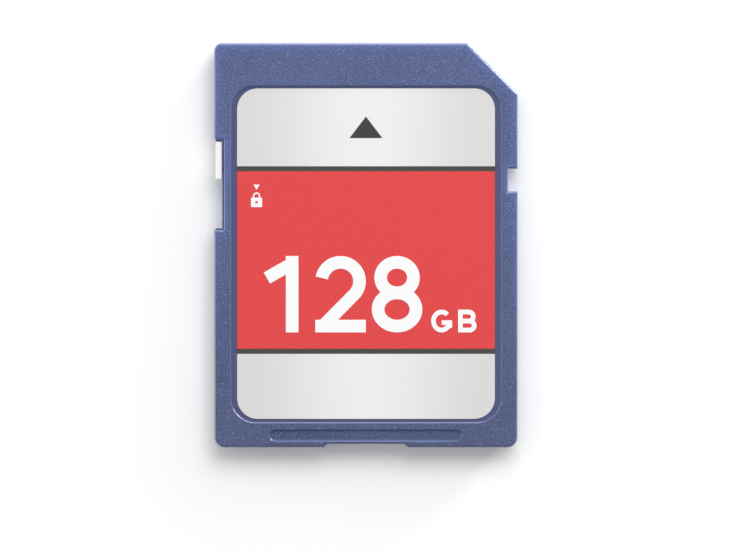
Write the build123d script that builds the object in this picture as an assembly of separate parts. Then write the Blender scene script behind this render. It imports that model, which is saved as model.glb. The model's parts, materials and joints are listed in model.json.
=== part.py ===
from build123d import *
import os
from math import sqrt

# Full-size flash memory card, lying on its back with the label up, in millimetres.
# X runs across the card, Y towards the contact end, Z out of the label.

# Card body
CARD_WIDTH = 24.0
CARD_LENGTH = 32.0
CARD_THICKNESS = 2.1
CORNER_CUT = 4.0  # both legs of the cut corner
CORNER_CUT_RADIUS = 0.3  # where the cut meets the long side
TIP_CORNER_RADIUS = 0.6
END_CORNER_RADIUS = 0.85
EDGE_RADIUS = 0.2  # rounding of the front and back rims
RAIL_WIDTH = 0.75  # guide rail along each long side
RAIL_THICKNESS = 1.4
FRONT_COVER_DEPTH = 0.7  # from the front face down to the weld seam
SEAM_CHAMFER = 0.04  # on both covers, so that the seam shows as a fine line

# Walls of the two covers
SIDE_WALL = 1.4
TIP_WALL = 0.8
END_WALL = 1.9
CORNER_CUT_WALL = 0.45
CAVITY_RADIUS = 0.5
PANEL_THICKNESS = 0.23  # front cover behind the label
FLOOR_THICKNESS = 0.3  # back cover under the board
LEDGE_WIDTH = 0.7  # shelf that carries the rim of the board
RIB_COUNT = 3
RIB_WIDTH = 0.6

# Locating pegs and hold-down posts of the front cover
PEG_DIAMETER = 0.6
PEG_LENGTH = 0.4
PEG_CLEARANCE = 0.05
PEG_FROM_TIP = 5.5
PEG_FROM_END = 8.0
POST_DIAMETER = 0.9
POST_INSET = 1.1  # from the board's long edges
POST_FROM_TIP = 5.5
POST_GAP = 1.0  # between the memory chip and the lower pair

# Notches in the outline
LATCH_NOTCH_FROM_TIP = 9.93
LATCH_NOTCH_LENGTH = 1.8
SLOT_FROM_TIP = 7.66
SLOT_LENGTH = 7.1
SLOT_MOUTH_RADIUS = 0.25
SLOT_FLOOR_RADIUS = 0.12
PULL_NOTCH_WIDTH = 6.7
PULL_NOTCH_DEPTH = 0.27
PULL_NOTCH_SLOPE = 0.32

# Label and its recess
RECESS_DEPTH = 0.15
RECESS_SIDE_MARGIN = 1.35
RECESS_TIP_MARGIN = 3.43
RECESS_END_MARGIN = 2.03
RECESS_RADIUS = 1.9
RECESS_EDGE_RADIUS = 0.12
LABEL_THICKNESS = 0.1
LABEL_SIDE_GAP = 0.45
LABEL_TIP_GAP = 0.15
LABEL_END_GAP = 0.23
LABEL_RADIUS = 1.65

# Oval grip groove
GROOVE_LENGTH = 15.3
GROOVE_WIDTH = 0.96
GROOVE_DEPTH = 0.2
GROOVE_FROM_END = 0.97
GROOVE_SLOPE = 38.0  # degrees between its walls and the upright

# Write-protect slider and its guide
TAB_LENGTH = 3.0
TAB_SETBACK = 0.1  # outer face behind the long edge of the card
TAB_FACE_SETBACK = 0.08  # behind the front face and the underside of the rail
TAB_GAP = 0.15  # between the tab and the floor of its slot
TAB_END_GAP = 0.15
TAB_EDGE_RADIUS = 0.1
NECK_LENGTH = 1.8
NECK_HEIGHT = 0.36
FOOT_LENGTH = 2.6
FOOT_DEPTH = 0.45
FOOT_HEIGHT = 0.56
GUIDE_WALL = 0.35
SLIDE_CLEARANCE = 0.05

# Circuit board and its contacts
BOARD_THICKNESS = 0.3
BOARD_CLEARANCE = 0.1
CONTACT_RECESS = 0.7  # contact faces above the back of the card
CONTACT_THICKNESS = 0.03
CONTACT_LENGTH = 4.0
CONTACT_WIDTH = 1.8
NARROW_CONTACT_WIDTH = 1.2
CONTACT_LAP = 0.05  # hidden under the ribs at each side
CONTACT_FROM_TIP = 1.0
CORNER_CONTACT_FROM_TIP = 2.9
EVEN_CONTACTS = 6  # contacts 1 to 6 follow the corner contact at one pitch
CORNER_CONTACT_FROM_SIDE = 2.75
LAST_CONTACT_FROM_SIDE = 2.12
FIRST_NARROW_PITCH = 2.43
LAST_NARROW_PITCH = 1.7
SLOT_CORNER_RADIUS = 0.3
CONTACT_ZONE_MARGIN = 0.7  # solid floor below the lowest contact
LEAD_IN_LENGTH = 0.4
LEAD_IN_RISE = 0.25

# Memory chip, with leads along both short sides
CHIP_STANDOFF = 0.04
CHIP_HEADROOM = 0.05  # below the front cover
CHIP_DRAFT = 8.0  # degrees
PIN_MARK_DIAMETER = 0.9
PIN_MARK_DEPTH = 0.06
PIN_MARK_INSET = 1.0
FLASH_FROM_BOARD_END = 0.5
LEADS_PER_SIDE = 24
LEAD_PITCH = 0.5
LEAD_ROW_MARGIN = 0.25
LEAD_WIDTH = 0.22
LEAD_THICKNESS = 0.12
LEAD_REACH = 0.8
LEAD_SHOULDER = 0.16
LEAD_DROP = 0.14  # run of the sloping part
LEAD_EDGE_GAP = 0.5  # lead tips to the board's edge

# Controller chip, with flat terminals under all four sides
TERMINALS_PER_SIDE = 12
TERMINAL_PITCH = 0.4
TERMINAL_WIDTH = 0.2
TERMINAL_LENGTH = 0.45
TERMINAL_ROW_MARGIN = 0.8
CONTROLLER_GAP = 2.5  # above the memory chip

# Capacitors and resistors
CAPACITOR_COUNT = 4
CAPACITOR_HEIGHT = 0.45
CAPACITOR_GAP = 1.2
RESISTOR_COUNT = 4
RESISTOR_HEIGHT = 0.32
RESISTOR_GAP = 1.4
PASSIVE_LENGTH = 1.0
PASSIVE_WIDTH = 0.5
PASSIVE_PITCH = 1.5
END_CAP_LENGTH = 0.22
END_CAP_LIP = 0.02

# Places that follow from the sizes above
HALF_WIDTH = CARD_WIDTH / 2
TIP_Y = CARD_LENGTH / 2
END_Y = -CARD_LENGTH / 2
RAIL_Z = CARD_THICKNESS - RAIL_THICKNESS
SEAM_Z = CARD_THICKNESS - FRONT_COVER_DEPTH
RECESS_Z = CARD_THICKNESS - RECESS_DEPTH
CEILING_Z = RECESS_Z - PANEL_THICKNESS
BOARD_Z = CONTACT_RECESS + CONTACT_THICKNESS
BOARD_TOP_Z = BOARD_Z + BOARD_THICKNESS
BOARD_HALF_WIDTH = HALF_WIDTH - SIDE_WALL - BOARD_CLEARANCE
BOARD_END_Y = END_Y + END_WALL + BOARD_CLEARANCE
CHIP_Z = BOARD_TOP_Z + CHIP_STANDOFF
CHIP_TOP_Z = CEILING_Z - CHIP_HEADROOM

SLOT_TOP_Y = TIP_Y - SLOT_FROM_TIP
SLOT_LOW_Y = SLOT_TOP_Y - SLOT_LENGTH
SLOT_FLOOR_X = -HALF_WIDTH + RAIL_WIDTH
TAB_Y = SLOT_TOP_Y - TAB_END_GAP - TAB_LENGTH / 2
TRAVEL = SLOT_LENGTH - TAB_LENGTH - 2 * TAB_END_GAP
FOOT_OUTER_X = SLOT_FLOOR_X + GUIDE_WALL + SLIDE_CLEARANCE
FOOT_INNER_X = FOOT_OUTER_X + FOOT_DEPTH
GUIDE_INNER_X = FOOT_INNER_X + SLIDE_CLEARANCE + GUIDE_WALL

FLASH_HALF_LENGTH = BOARD_HALF_WIDTH - LEAD_EDGE_GAP - LEAD_REACH
FLASH_WIDTH = (LEADS_PER_SIDE - 1) * LEAD_PITCH + 2 * LEAD_ROW_MARGIN
FLASH_Y = BOARD_END_Y + FLASH_FROM_BOARD_END + FLASH_WIDTH / 2
CONTROLLER_SIZE = (TERMINALS_PER_SIDE - 1) * TERMINAL_PITCH + 2 * TERMINAL_ROW_MARGIN
CONTROLLER_Y = FLASH_Y + FLASH_WIDTH / 2 + CONTROLLER_GAP + CONTROLLER_SIZE / 2


def rectangle(left, right, low, high):
    """Plan rectangle between its four sides."""
    return Pos((left + right) / 2, (low + high) / 2) * Rectangle(right - left, high - low)


def prism(plan, bottom, top):
    """Solid on a plan, between two heights."""
    return Pos(0, 0, bottom) * extrude(plan, top - bottom)


def spread(count, pitch):
    """Even places about zero."""
    return [(index - (count - 1) / 2) * pitch for index in range(count)]


def body_plan(inset=0.0):
    """Outline of the card with its cut corner and pull notch, drawn in from both long sides."""
    side = HALF_WIDTH - inset
    notch = PULL_NOTCH_WIDTH / 2
    notch_floor = END_Y + PULL_NOTCH_DEPTH
    cut_line = HALF_WIDTH + TIP_Y - CORNER_CUT
    corners = [
        (-side, END_Y, END_CORNER_RADIUS),
        (-notch, END_Y, 0),
        (-notch + PULL_NOTCH_SLOPE, notch_floor, 0),
        (notch - PULL_NOTCH_SLOPE, notch_floor, 0),
        (notch, END_Y, 0),
        (side, END_Y, END_CORNER_RADIUS),
        (side, cut_line - side, CORNER_CUT_RADIUS),
        (cut_line - TIP_Y, TIP_Y, 0),
        (-side, TIP_Y, TIP_CORNER_RADIUS),
    ]
    points = [(x, y) for x, y, radius in corners]
    radii = [radius for x, y, radius in corners]
    return make_face(FilletPolyline(points, radius=radii, close=True))


def card_plan():
    """Outline of the card with the slider slot and the latch notch cut through its rails."""
    slot = rectangle(-CARD_WIDTH, SLOT_FLOOR_X, SLOT_LOW_Y, SLOT_TOP_Y)
    latch_top = TIP_Y - LATCH_NOTCH_FROM_TIP
    latch = rectangle(HALF_WIDTH - RAIL_WIDTH, CARD_WIDTH, latch_top - LATCH_NOTCH_LENGTH, latch_top)
    plan = body_plan() - slot - latch
    mouth = plan.vertices().sort_by_distance((-HALF_WIDTH, SLOT_TOP_Y))[0]
    plan = fillet(mouth, SLOT_MOUTH_RADIUS)
    floor_middle = (SLOT_FLOOR_X, (SLOT_LOW_Y + SLOT_TOP_Y) / 2)
    floor_corners = plan.vertices().sort_by_distance(floor_middle)[:2]
    return fillet(floor_corners, SLOT_FLOOR_RADIUS)


def cavity_plan(gap=0.0):
    """Inner outline of both covers, round the slider's guide, drawn in by a gap."""
    side = HALF_WIDTH - SIDE_WALL - gap
    tip = TIP_Y - TIP_WALL - gap
    end = END_Y + END_WALL + gap
    cut_line = HALF_WIDTH + TIP_Y - CORNER_CUT - (CORNER_CUT_WALL + gap) * sqrt(2)
    corners = [(-side, end), (side, end), (side, cut_line - side), (cut_line - tip, tip), (-side, tip)]
    inside = make_face(FilletPolyline(corners, radius=CAVITY_RADIUS, close=True))
    guide_low = SLOT_LOW_Y - GUIDE_WALL - gap
    guide_top = SLOT_TOP_Y + GUIDE_WALL + gap
    return inside - rectangle(-HALF_WIDTH, GUIDE_INNER_X + gap, guide_low, guide_top)


def slider_space():
    """Slit for the slider's neck and channel for its foot, over the whole travel."""
    neck_reach = NECK_LENGTH / 2 + SLIDE_CLEARANCE
    foot_reach = FOOT_LENGTH / 2 + SLIDE_CLEARANCE
    neck_rise = NECK_HEIGHT / 2 + SLIDE_CLEARANCE
    foot_rise = FOOT_HEIGHT / 2 + SLIDE_CLEARANCE
    channel_x = FOOT_OUTER_X - SLIDE_CLEARANCE
    slit = rectangle(-HALF_WIDTH, FOOT_INNER_X, TAB_Y - TRAVEL - neck_reach, TAB_Y + neck_reach)
    channel = rectangle(
        channel_x, FOOT_INNER_X + SLIDE_CLEARANCE, TAB_Y - TRAVEL - foot_reach, TAB_Y + foot_reach
    )
    return prism(slit, SEAM_Z - neck_rise, SEAM_Z + neck_rise) + prism(
        channel, SEAM_Z - foot_rise, SEAM_Z + foot_rise
    )


def pegs(diameter, length):
    """Round pegs below the weld seam, two in each long wall."""
    peg = Cylinder(diameter / 2, length, align=(Align.CENTER, Align.CENTER, Align.MAX))
    wall_x = HALF_WIDTH - SIDE_WALL / 2
    places = [(x, y) for x in (-wall_x, wall_x) for y in (TIP_Y - PEG_FROM_TIP, END_Y + PEG_FROM_END)]
    return [Pos(x, y, SEAM_Z) * peg for x, y in places]


def posts():
    """Round posts from the front cover down to the board, two beside each long edge."""
    post = Cylinder(
        POST_DIAMETER / 2, CEILING_Z - BOARD_TOP_Z, align=(Align.CENTER, Align.CENTER, Align.MIN)
    )
    post_x = BOARD_HALF_WIDTH - POST_INSET
    rows = (TIP_Y - POST_FROM_TIP, FLASH_Y + FLASH_WIDTH / 2 + POST_GAP)
    return [Pos(x, y, BOARD_TOP_Z) * post for x in (-post_x, post_x) for y in rows]


def label_area(side_gap, tip_gap, end_gap, radius):
    """Round-cornered area on the front face, inside the recess by the given gaps."""
    width = CARD_WIDTH - 2 * (RECESS_SIDE_MARGIN + side_gap)
    low = END_Y + RECESS_END_MARGIN + end_gap
    high = TIP_Y - RECESS_TIP_MARGIN - tip_gap
    return Pos(0, (low + high) / 2) * RectangleRounded(width, high - low, radius)


def front_cover():
    """Front half shell with the label recess, the grip groove and the pegs."""
    cover = prism(card_plan(), SEAM_Z, CARD_THICKNESS)
    cover = fillet(cover.edges().group_by(Axis.Z)[-1], EDGE_RADIUS)
    cover = chamfer(cover.edges().group_by(Axis.Z)[0], SEAM_CHAMFER)

    cover -= prism(label_area(0, 0, 0, RECESS_RADIUS), RECESS_Z, CARD_THICKNESS)
    face_edges = cover.edges().group_by(Axis.Z)[-1]
    recess_rim = face_edges.filter_by_position(Axis.X, -HALF_WIDTH + RAIL_WIDTH, HALF_WIDTH - RAIL_WIDTH)
    recess_rim = recess_rim.filter_by_position(
        Axis.Y, END_Y + GROOVE_FROM_END, TIP_Y - RECESS_TIP_MARGIN / 2
    )
    cover = fillet(recess_rim, RECESS_EDGE_RADIUS)

    groove = SlotOverall(GROOVE_LENGTH, GROOVE_WIDTH)
    cover -= Pos(0, END_Y + GROOVE_FROM_END, CARD_THICKNESS) * extrude(
        groove, -GROOVE_DEPTH, taper=GROOVE_SLOPE
    )
    cover -= prism(cavity_plan(), SEAM_Z, CEILING_Z)
    cover -= slider_space()
    return cover + pegs(PEG_DIAMETER, PEG_LENGTH) + posts()


def contacts():
    """Number, centre X, width and upper end of each contact, from the cut corner across."""
    x = HALF_WIDTH - CORNER_CONTACT_FROM_SIDE
    row_top = TIP_Y - CONTACT_FROM_TIP
    seventh_x = -HALF_WIDTH + LAST_CONTACT_FROM_SIDE + LAST_NARROW_PITCH
    pitch = (x - seventh_x - FIRST_NARROW_PITCH) / EVEN_CONTACTS
    rows = [(9, x, CONTACT_WIDTH, TIP_Y - CORNER_CONTACT_FROM_TIP)]
    for number in range(1, EVEN_CONTACTS + 1):
        x -= pitch
        rows.append((number, x, CONTACT_WIDTH, row_top))
    for number, narrow_pitch in ((7, FIRST_NARROW_PITCH), (8, LAST_NARROW_PITCH)):
        x -= narrow_pitch
        rows.append((number, x, NARROW_CONTACT_WIDTH, row_top))
    return rows


def contact(x, width, top):
    """Plated contact under the board."""
    plan = rectangle(x - width / 2, x + width / 2, top - CONTACT_LENGTH, top)
    return prism(plan, CONTACT_RECESS, BOARD_Z)


def contact_slots():
    """Open-ended slots below the contacts, with a lead-in along the tip and the cut corner."""
    slots = []
    for number, x, width, top in contacts():
        half = width / 2 - CONTACT_LAP
        low = top - CONTACT_LENGTH + CONTACT_LAP
        plan = rectangle(x - half, x + half, low, CARD_LENGTH)
        plan = fillet(plan.vertices().group_by(Axis.Y)[0], SLOT_CORNER_RADIUS)
        slots.append(prism(plan, 0, CONTACT_RECESS + LEAD_IN_RISE))
    cut_distance = (HALF_WIDTH + TIP_Y - CORNER_CUT) / sqrt(2)
    spaces = [prism(rectangle(-CARD_WIDTH, CARD_WIDTH, 0, CARD_LENGTH), 0, CONTACT_RECESS)]
    spaces.append(lead_in(TIP_Y))
    spaces.append(Rot(0, 0, -45) * lead_in(cut_distance))
    return (Part() + slots) & (Part() + spaces)


def lead_in(edge_y):
    """Ramp that rises from the contact faces to an edge at this distance."""
    ramp = Polyline(
        (edge_y - LEAD_IN_LENGTH, CONTACT_RECESS),
        (edge_y, CONTACT_RECESS),
        (edge_y, CONTACT_RECESS + LEAD_IN_RISE),
        close=True,
    )
    return extrude(Plane.YZ * make_face(ramp), HALF_WIDTH, both=True)


def board_seat():
    """Space for the board, its contacts and the relief between the ribs under it."""
    zone_low = TIP_Y - CORNER_CONTACT_FROM_TIP - CONTACT_LENGTH - CONTACT_ZONE_MARGIN
    contact_zone = cavity_plan() & rectangle(-HALF_WIDTH, HALF_WIDTH, zone_low, TIP_Y)
    relief = cavity_plan(LEDGE_WIDTH) & rectangle(-HALF_WIDTH, HALF_WIDTH, END_Y, zone_low)
    rib_pitch = 2 * (HALF_WIDTH - SIDE_WALL - LEDGE_WIDTH) / (RIB_COUNT + 1)
    for x in spread(RIB_COUNT, rib_pitch):
        relief -= rectangle(x - RIB_WIDTH / 2, x + RIB_WIDTH / 2, END_Y, zone_low)
    seat = prism(cavity_plan(), BOARD_Z, SEAM_Z)
    seat += prism(contact_zone, CONTACT_RECESS, SEAM_Z)
    return seat + prism(relief, FLOOR_THICKNESS, SEAM_Z)


def back_cover():
    """Back half shell with the rail steps, the contact slots and the seat for the board."""
    plate = prism(body_plan(RAIL_WIDTH), 0, RAIL_Z)
    rim = prism(card_plan(), RAIL_Z, SEAM_Z)
    cover = fillet(plate.edges().group_by(Axis.Z)[0], EDGE_RADIUS)
    cover += chamfer(rim.edges().group_by(Axis.Z)[-1], SEAM_CHAMFER)
    cover -= board_seat()
    cover -= contact_slots()
    cover -= slider_space()
    return cover - pegs(PEG_DIAMETER + 2 * PEG_CLEARANCE, PEG_LENGTH + PEG_CLEARANCE)


def write_protect_slider():
    """Tab in the edge slot, with a neck through the wall and a foot in the guide channel."""
    tab_outer_x = -HALF_WIDTH + TAB_SETBACK
    tab_inner_x = SLOT_FLOOR_X - TAB_GAP
    tab = rectangle(tab_outer_x, tab_inner_x, TAB_Y - TAB_LENGTH / 2, TAB_Y + TAB_LENGTH / 2)
    neck = rectangle(tab_inner_x, FOOT_OUTER_X, TAB_Y - NECK_LENGTH / 2, TAB_Y + NECK_LENGTH / 2)
    foot = rectangle(FOOT_OUTER_X, FOOT_INNER_X, TAB_Y - FOOT_LENGTH / 2, TAB_Y + FOOT_LENGTH / 2)
    slider = prism(tab, RAIL_Z + TAB_FACE_SETBACK, CARD_THICKNESS - TAB_FACE_SETBACK)
    slider = fillet(slider.edges(), TAB_EDGE_RADIUS)
    slider += prism(neck, SEAM_Z - NECK_HEIGHT / 2, SEAM_Z + NECK_HEIGHT / 2)
    return slider + prism(foot, SEAM_Z - FOOT_HEIGHT / 2, SEAM_Z + FOOT_HEIGHT / 2)


def front_label():
    """Printed film on the floor of the recess."""
    plan = label_area(LABEL_SIDE_GAP, LABEL_TIP_GAP, LABEL_END_GAP, LABEL_RADIUS)
    return prism(plan, RECESS_Z, RECESS_Z + LABEL_THICKNESS)


def circuit_board():
    """Board that fills the cavity, notched round the slider's guide."""
    return prism(cavity_plan(BOARD_CLEARANCE), BOARD_Z, BOARD_TOP_Z)


def pin_mark(left, top):
    """Round dimple in a chip's top, beside its first pin."""
    place = Pos(left + PIN_MARK_INSET, top - PIN_MARK_INSET, CHIP_TOP_Z)
    return place * Cylinder(PIN_MARK_DIAMETER / 2, 2 * PIN_MARK_DEPTH)


def flash_chip():
    """Memory chip with drafted sides that meet at the height of its leads."""
    middle_z = (CHIP_Z + CHIP_TOP_Z) / 2
    top_y = FLASH_Y + FLASH_WIDTH / 2
    plan = rectangle(-FLASH_HALF_LENGTH, FLASH_HALF_LENGTH, top_y - FLASH_WIDTH, top_y)
    chip = extrude(plan, CHIP_TOP_Z - middle_z, taper=CHIP_DRAFT)
    chip += extrude(plan, CHIP_Z - middle_z, taper=CHIP_DRAFT)
    return Pos(0, 0, middle_z) * chip - pin_mark(-FLASH_HALF_LENGTH, top_y)


def flash_chip_leads():
    """Two rows of bent leads between the memory chip and the board."""
    middle_z = (CHIP_Z + CHIP_TOP_Z) / 2
    upper_z = middle_z + LEAD_THICKNESS / 2
    lower_z = middle_z - LEAD_THICKNESS / 2
    bend_x = FLASH_HALF_LENGTH + LEAD_SHOULDER
    tip_x = FLASH_HALF_LENGTH + LEAD_REACH
    profile = Polyline(
        (FLASH_HALF_LENGTH, lower_z),
        (bend_x - LEAD_THICKNESS / 2, lower_z),
        (bend_x + LEAD_DROP - LEAD_THICKNESS / 2, BOARD_TOP_Z),
        (tip_x, BOARD_TOP_Z),
        (tip_x, BOARD_TOP_Z + LEAD_THICKNESS),
        (bend_x + LEAD_DROP + LEAD_THICKNESS / 2, BOARD_TOP_Z + LEAD_THICKNESS),
        (bend_x + LEAD_THICKNESS / 2, upper_z),
        (FLASH_HALF_LENGTH, upper_z),
        close=True,
    )
    right = extrude(Plane.XZ * make_face(profile), LEAD_WIDTH / 2, both=True)
    left = mirror(right, Plane.YZ)
    places = spread(LEADS_PER_SIDE, LEAD_PITCH)
    return Compound([Pos(0, FLASH_Y + y, 0) * lead for y in places for lead in (left, right)])


def controller_chip():
    """Square leadless chip."""
    half = CONTROLLER_SIZE / 2
    plan = rectangle(-half, half, CONTROLLER_Y - half, CONTROLLER_Y + half)
    return prism(plan, CHIP_Z, CHIP_TOP_Z) - pin_mark(-half, CONTROLLER_Y + half)


def controller_terminals():
    """Flat terminals between the controller and the board, on all four sides."""
    outer_y = CONTROLLER_SIZE / 2
    terminals = []
    for turn in range(4):
        for x in spread(TERMINALS_PER_SIDE, TERMINAL_PITCH):
            left = x - TERMINAL_WIDTH / 2
            plan = rectangle(left, left + TERMINAL_WIDTH, outer_y - TERMINAL_LENGTH, outer_y)
            placed = Pos(0, CONTROLLER_Y) * Rot(0, 0, 90 * turn) * plan
            terminals.append(prism(placed, BOARD_TOP_Z, CHIP_Z))
    return Compound(terminals)


def passive(x, y, height):
    """Small block with a raised cap round each end, standing on the board."""
    align = (Align.CENTER, Align.CENTER, Align.MIN)
    cap = Box(END_CAP_LENGTH, PASSIVE_WIDTH, height, align=align)
    body = Box(PASSIVE_LENGTH, PASSIVE_WIDTH - 2 * END_CAP_LIP, height - 2 * END_CAP_LIP, align=align)
    cap_x = (PASSIVE_LENGTH - END_CAP_LENGTH) / 2
    block = Pos(0, 0, END_CAP_LIP) * body + [Pos(-cap_x, 0, 0) * cap, Pos(cap_x, 0, 0) * cap]
    return Pos(x, y, BOARD_TOP_Z) * block


def pieces():
    """Every piece of the card by name."""
    card = {
        "front_cover": front_cover(),
        "back_cover": back_cover(),
        "write_protect_slider": write_protect_slider(),
        "front_label": front_label(),
        "circuit_board": circuit_board(),
        "flash_chip": flash_chip(),
        "flash_chip_leads": flash_chip_leads(),
        "controller_chip": controller_chip(),
        "controller_terminals": controller_terminals(),
    }
    for number, x, width, top in contacts():
        card[f"contact_{number}"] = contact(x, width, top)
    capacitor_x = CONTROLLER_SIZE / 2 + CAPACITOR_GAP + PASSIVE_LENGTH / 2
    for number, y in enumerate(spread(CAPACITOR_COUNT, PASSIVE_PITCH), 1):
        card[f"capacitor_{number}"] = passive(capacitor_x, CONTROLLER_Y + y, CAPACITOR_HEIGHT)
    resistor_y = CONTROLLER_Y + CONTROLLER_SIZE / 2 + RESISTOR_GAP
    for number, x in enumerate(spread(RESISTOR_COUNT, PASSIVE_LENGTH + PASSIVE_PITCH), 1):
        card[f"resistor_{number}"] = passive(x, resistor_y, RESISTOR_HEIGHT)
    return card


os.makedirs("parts", exist_ok=True)
for name, piece in pieces().items():
    export_step(piece, f"parts/{name}.step")
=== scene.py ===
"""Looks of a full-size flash memory card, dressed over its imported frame."""

from __future__ import annotations

import json
import logging
import math
from dataclasses import dataclass, replace
from enum import Enum
from typing import Any, Iterable, Mapping, Sequence

import bmesh
import bpy
from mathutils import Matrix, Vector


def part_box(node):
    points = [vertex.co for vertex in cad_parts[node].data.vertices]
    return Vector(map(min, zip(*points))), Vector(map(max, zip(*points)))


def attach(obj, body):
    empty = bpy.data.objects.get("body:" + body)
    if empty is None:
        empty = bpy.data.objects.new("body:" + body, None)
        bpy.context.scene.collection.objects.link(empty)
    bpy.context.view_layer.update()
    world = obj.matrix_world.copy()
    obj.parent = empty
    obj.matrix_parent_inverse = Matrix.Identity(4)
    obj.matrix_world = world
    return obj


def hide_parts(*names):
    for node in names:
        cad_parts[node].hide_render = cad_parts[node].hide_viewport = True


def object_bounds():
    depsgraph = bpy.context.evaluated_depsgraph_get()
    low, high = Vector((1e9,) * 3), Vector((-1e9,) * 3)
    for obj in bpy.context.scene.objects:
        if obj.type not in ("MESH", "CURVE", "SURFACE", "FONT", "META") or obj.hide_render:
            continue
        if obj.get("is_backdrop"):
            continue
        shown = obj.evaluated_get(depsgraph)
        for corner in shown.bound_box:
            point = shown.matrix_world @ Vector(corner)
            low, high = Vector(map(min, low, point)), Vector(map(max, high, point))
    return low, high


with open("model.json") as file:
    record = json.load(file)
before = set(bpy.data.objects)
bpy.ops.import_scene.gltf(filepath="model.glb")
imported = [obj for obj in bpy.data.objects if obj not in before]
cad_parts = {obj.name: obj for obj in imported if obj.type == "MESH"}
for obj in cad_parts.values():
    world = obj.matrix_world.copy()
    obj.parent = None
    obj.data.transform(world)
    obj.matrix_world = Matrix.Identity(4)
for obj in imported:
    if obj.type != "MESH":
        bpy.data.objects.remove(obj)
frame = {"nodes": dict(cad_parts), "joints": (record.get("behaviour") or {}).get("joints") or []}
CAD_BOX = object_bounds()

# The frame is in metres. Pieces and patterns are laid out in millimetres.
MM = 0.001
WELD = 0.001
IMAGE_WIDTH = 750
IMAGE_HEIGHT = 552

# Levelness is 0 on a wall and 1 on a level face.
LEVELNESS = "levelness"
LEVEL_FACE = 0.93
STEEP_FACE = 0.15
FACE_BLUR = 0.1

Colour = tuple[float, float, float, float]
Tones = tuple[Colour, Colour]
Point = tuple[float, float]

BLACK: Colour = (0.0, 0.0, 0.0, 1.0)
WHITE: Colour = (1.0, 1.0, 1.0, 1.0)

log = logging.getLogger("memory_card")


class Body(Enum):
    """Bodies of the frame that a piece can ride on."""

    CARD = "card"
    SLIDER = "slider"


class Slot(Enum):
    """Material slots of the record, one for each kind of piece made here."""

    BLUE_PLASTIC = "blue_plastic"
    WHITE_PLASTIC = "white_plastic"
    PRINTED_FILM = "printed_film"
    GOLD_PLATE = "gold_plate"


def srgb(red: int, green: int, blue: int) -> Colour:
    """Turn a colour as a screen shows it into scene light.

    Args:
        red: Red level, 0 to 255.
        green: Green level, 0 to 255.
        blue: Blue level, 0 to 255.

    Returns:
        The linear colour, opaque.
    """
    linear = []
    for level in (red, green, blue):
        share = level / 255
        linear.append(share / 12.92 if share <= 0.04045 else ((share + 0.055) / 1.055) ** 2.4)
    return (linear[0], linear[1], linear[2], 1.0)


class NodeTree:
    """A node tree with one method that adds any node."""

    def __init__(self, tree: bpy.types.NodeTree) -> None:
        """Keep the tree that the nodes go into."""
        self.tree = tree

    def node(
        self,
        kind: str,
        settings: Mapping[str, Any] | None = None,
        inputs: Mapping[str, Any] | None = None,
    ) -> bpy.types.Node:
        """Add a node.

        Args:
            kind: The node's type.
            settings: Properties of the node, set before its sockets are fed.
            inputs: Values or links, by the socket's identifier or name.

        Returns:
            The new node.
        """
        made = self.tree.nodes.new(kind)
        for name, value in (settings or {}).items():
            setattr(made, name, value)
        for name, value in (inputs or {}).items():
            self.feed(self.socket(made.inputs, name), value)
        return made

    def feed(self, socket: bpy.types.NodeSocket, value: Any) -> None:
        """Give a socket a value, a link or several links.

        Args:
            socket: The input socket.
            value: A plain value, an output socket, a Shade, or a list of output sockets.
        """
        if isinstance(value, list):
            for source in value:
                self.tree.links.new(source, socket)
        elif isinstance(value, Shade):
            self.tree.links.new(value.socket, socket)
        elif isinstance(value, bpy.types.NodeSocket):
            self.tree.links.new(value, socket)
        else:
            socket.default_value = value

    @staticmethod
    def socket(sockets: Iterable[bpy.types.NodeSocket], name: str) -> bpy.types.NodeSocket:
        """Find a socket.

        Args:
            sockets: A node's inputs or outputs.
            name: The socket's identifier, or its name.

        Returns:
            The socket with that identifier, or else the first with that name.
        """
        for candidate in sockets:
            if candidate.identifier == name:
                return candidate
        return sockets[name]


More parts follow.
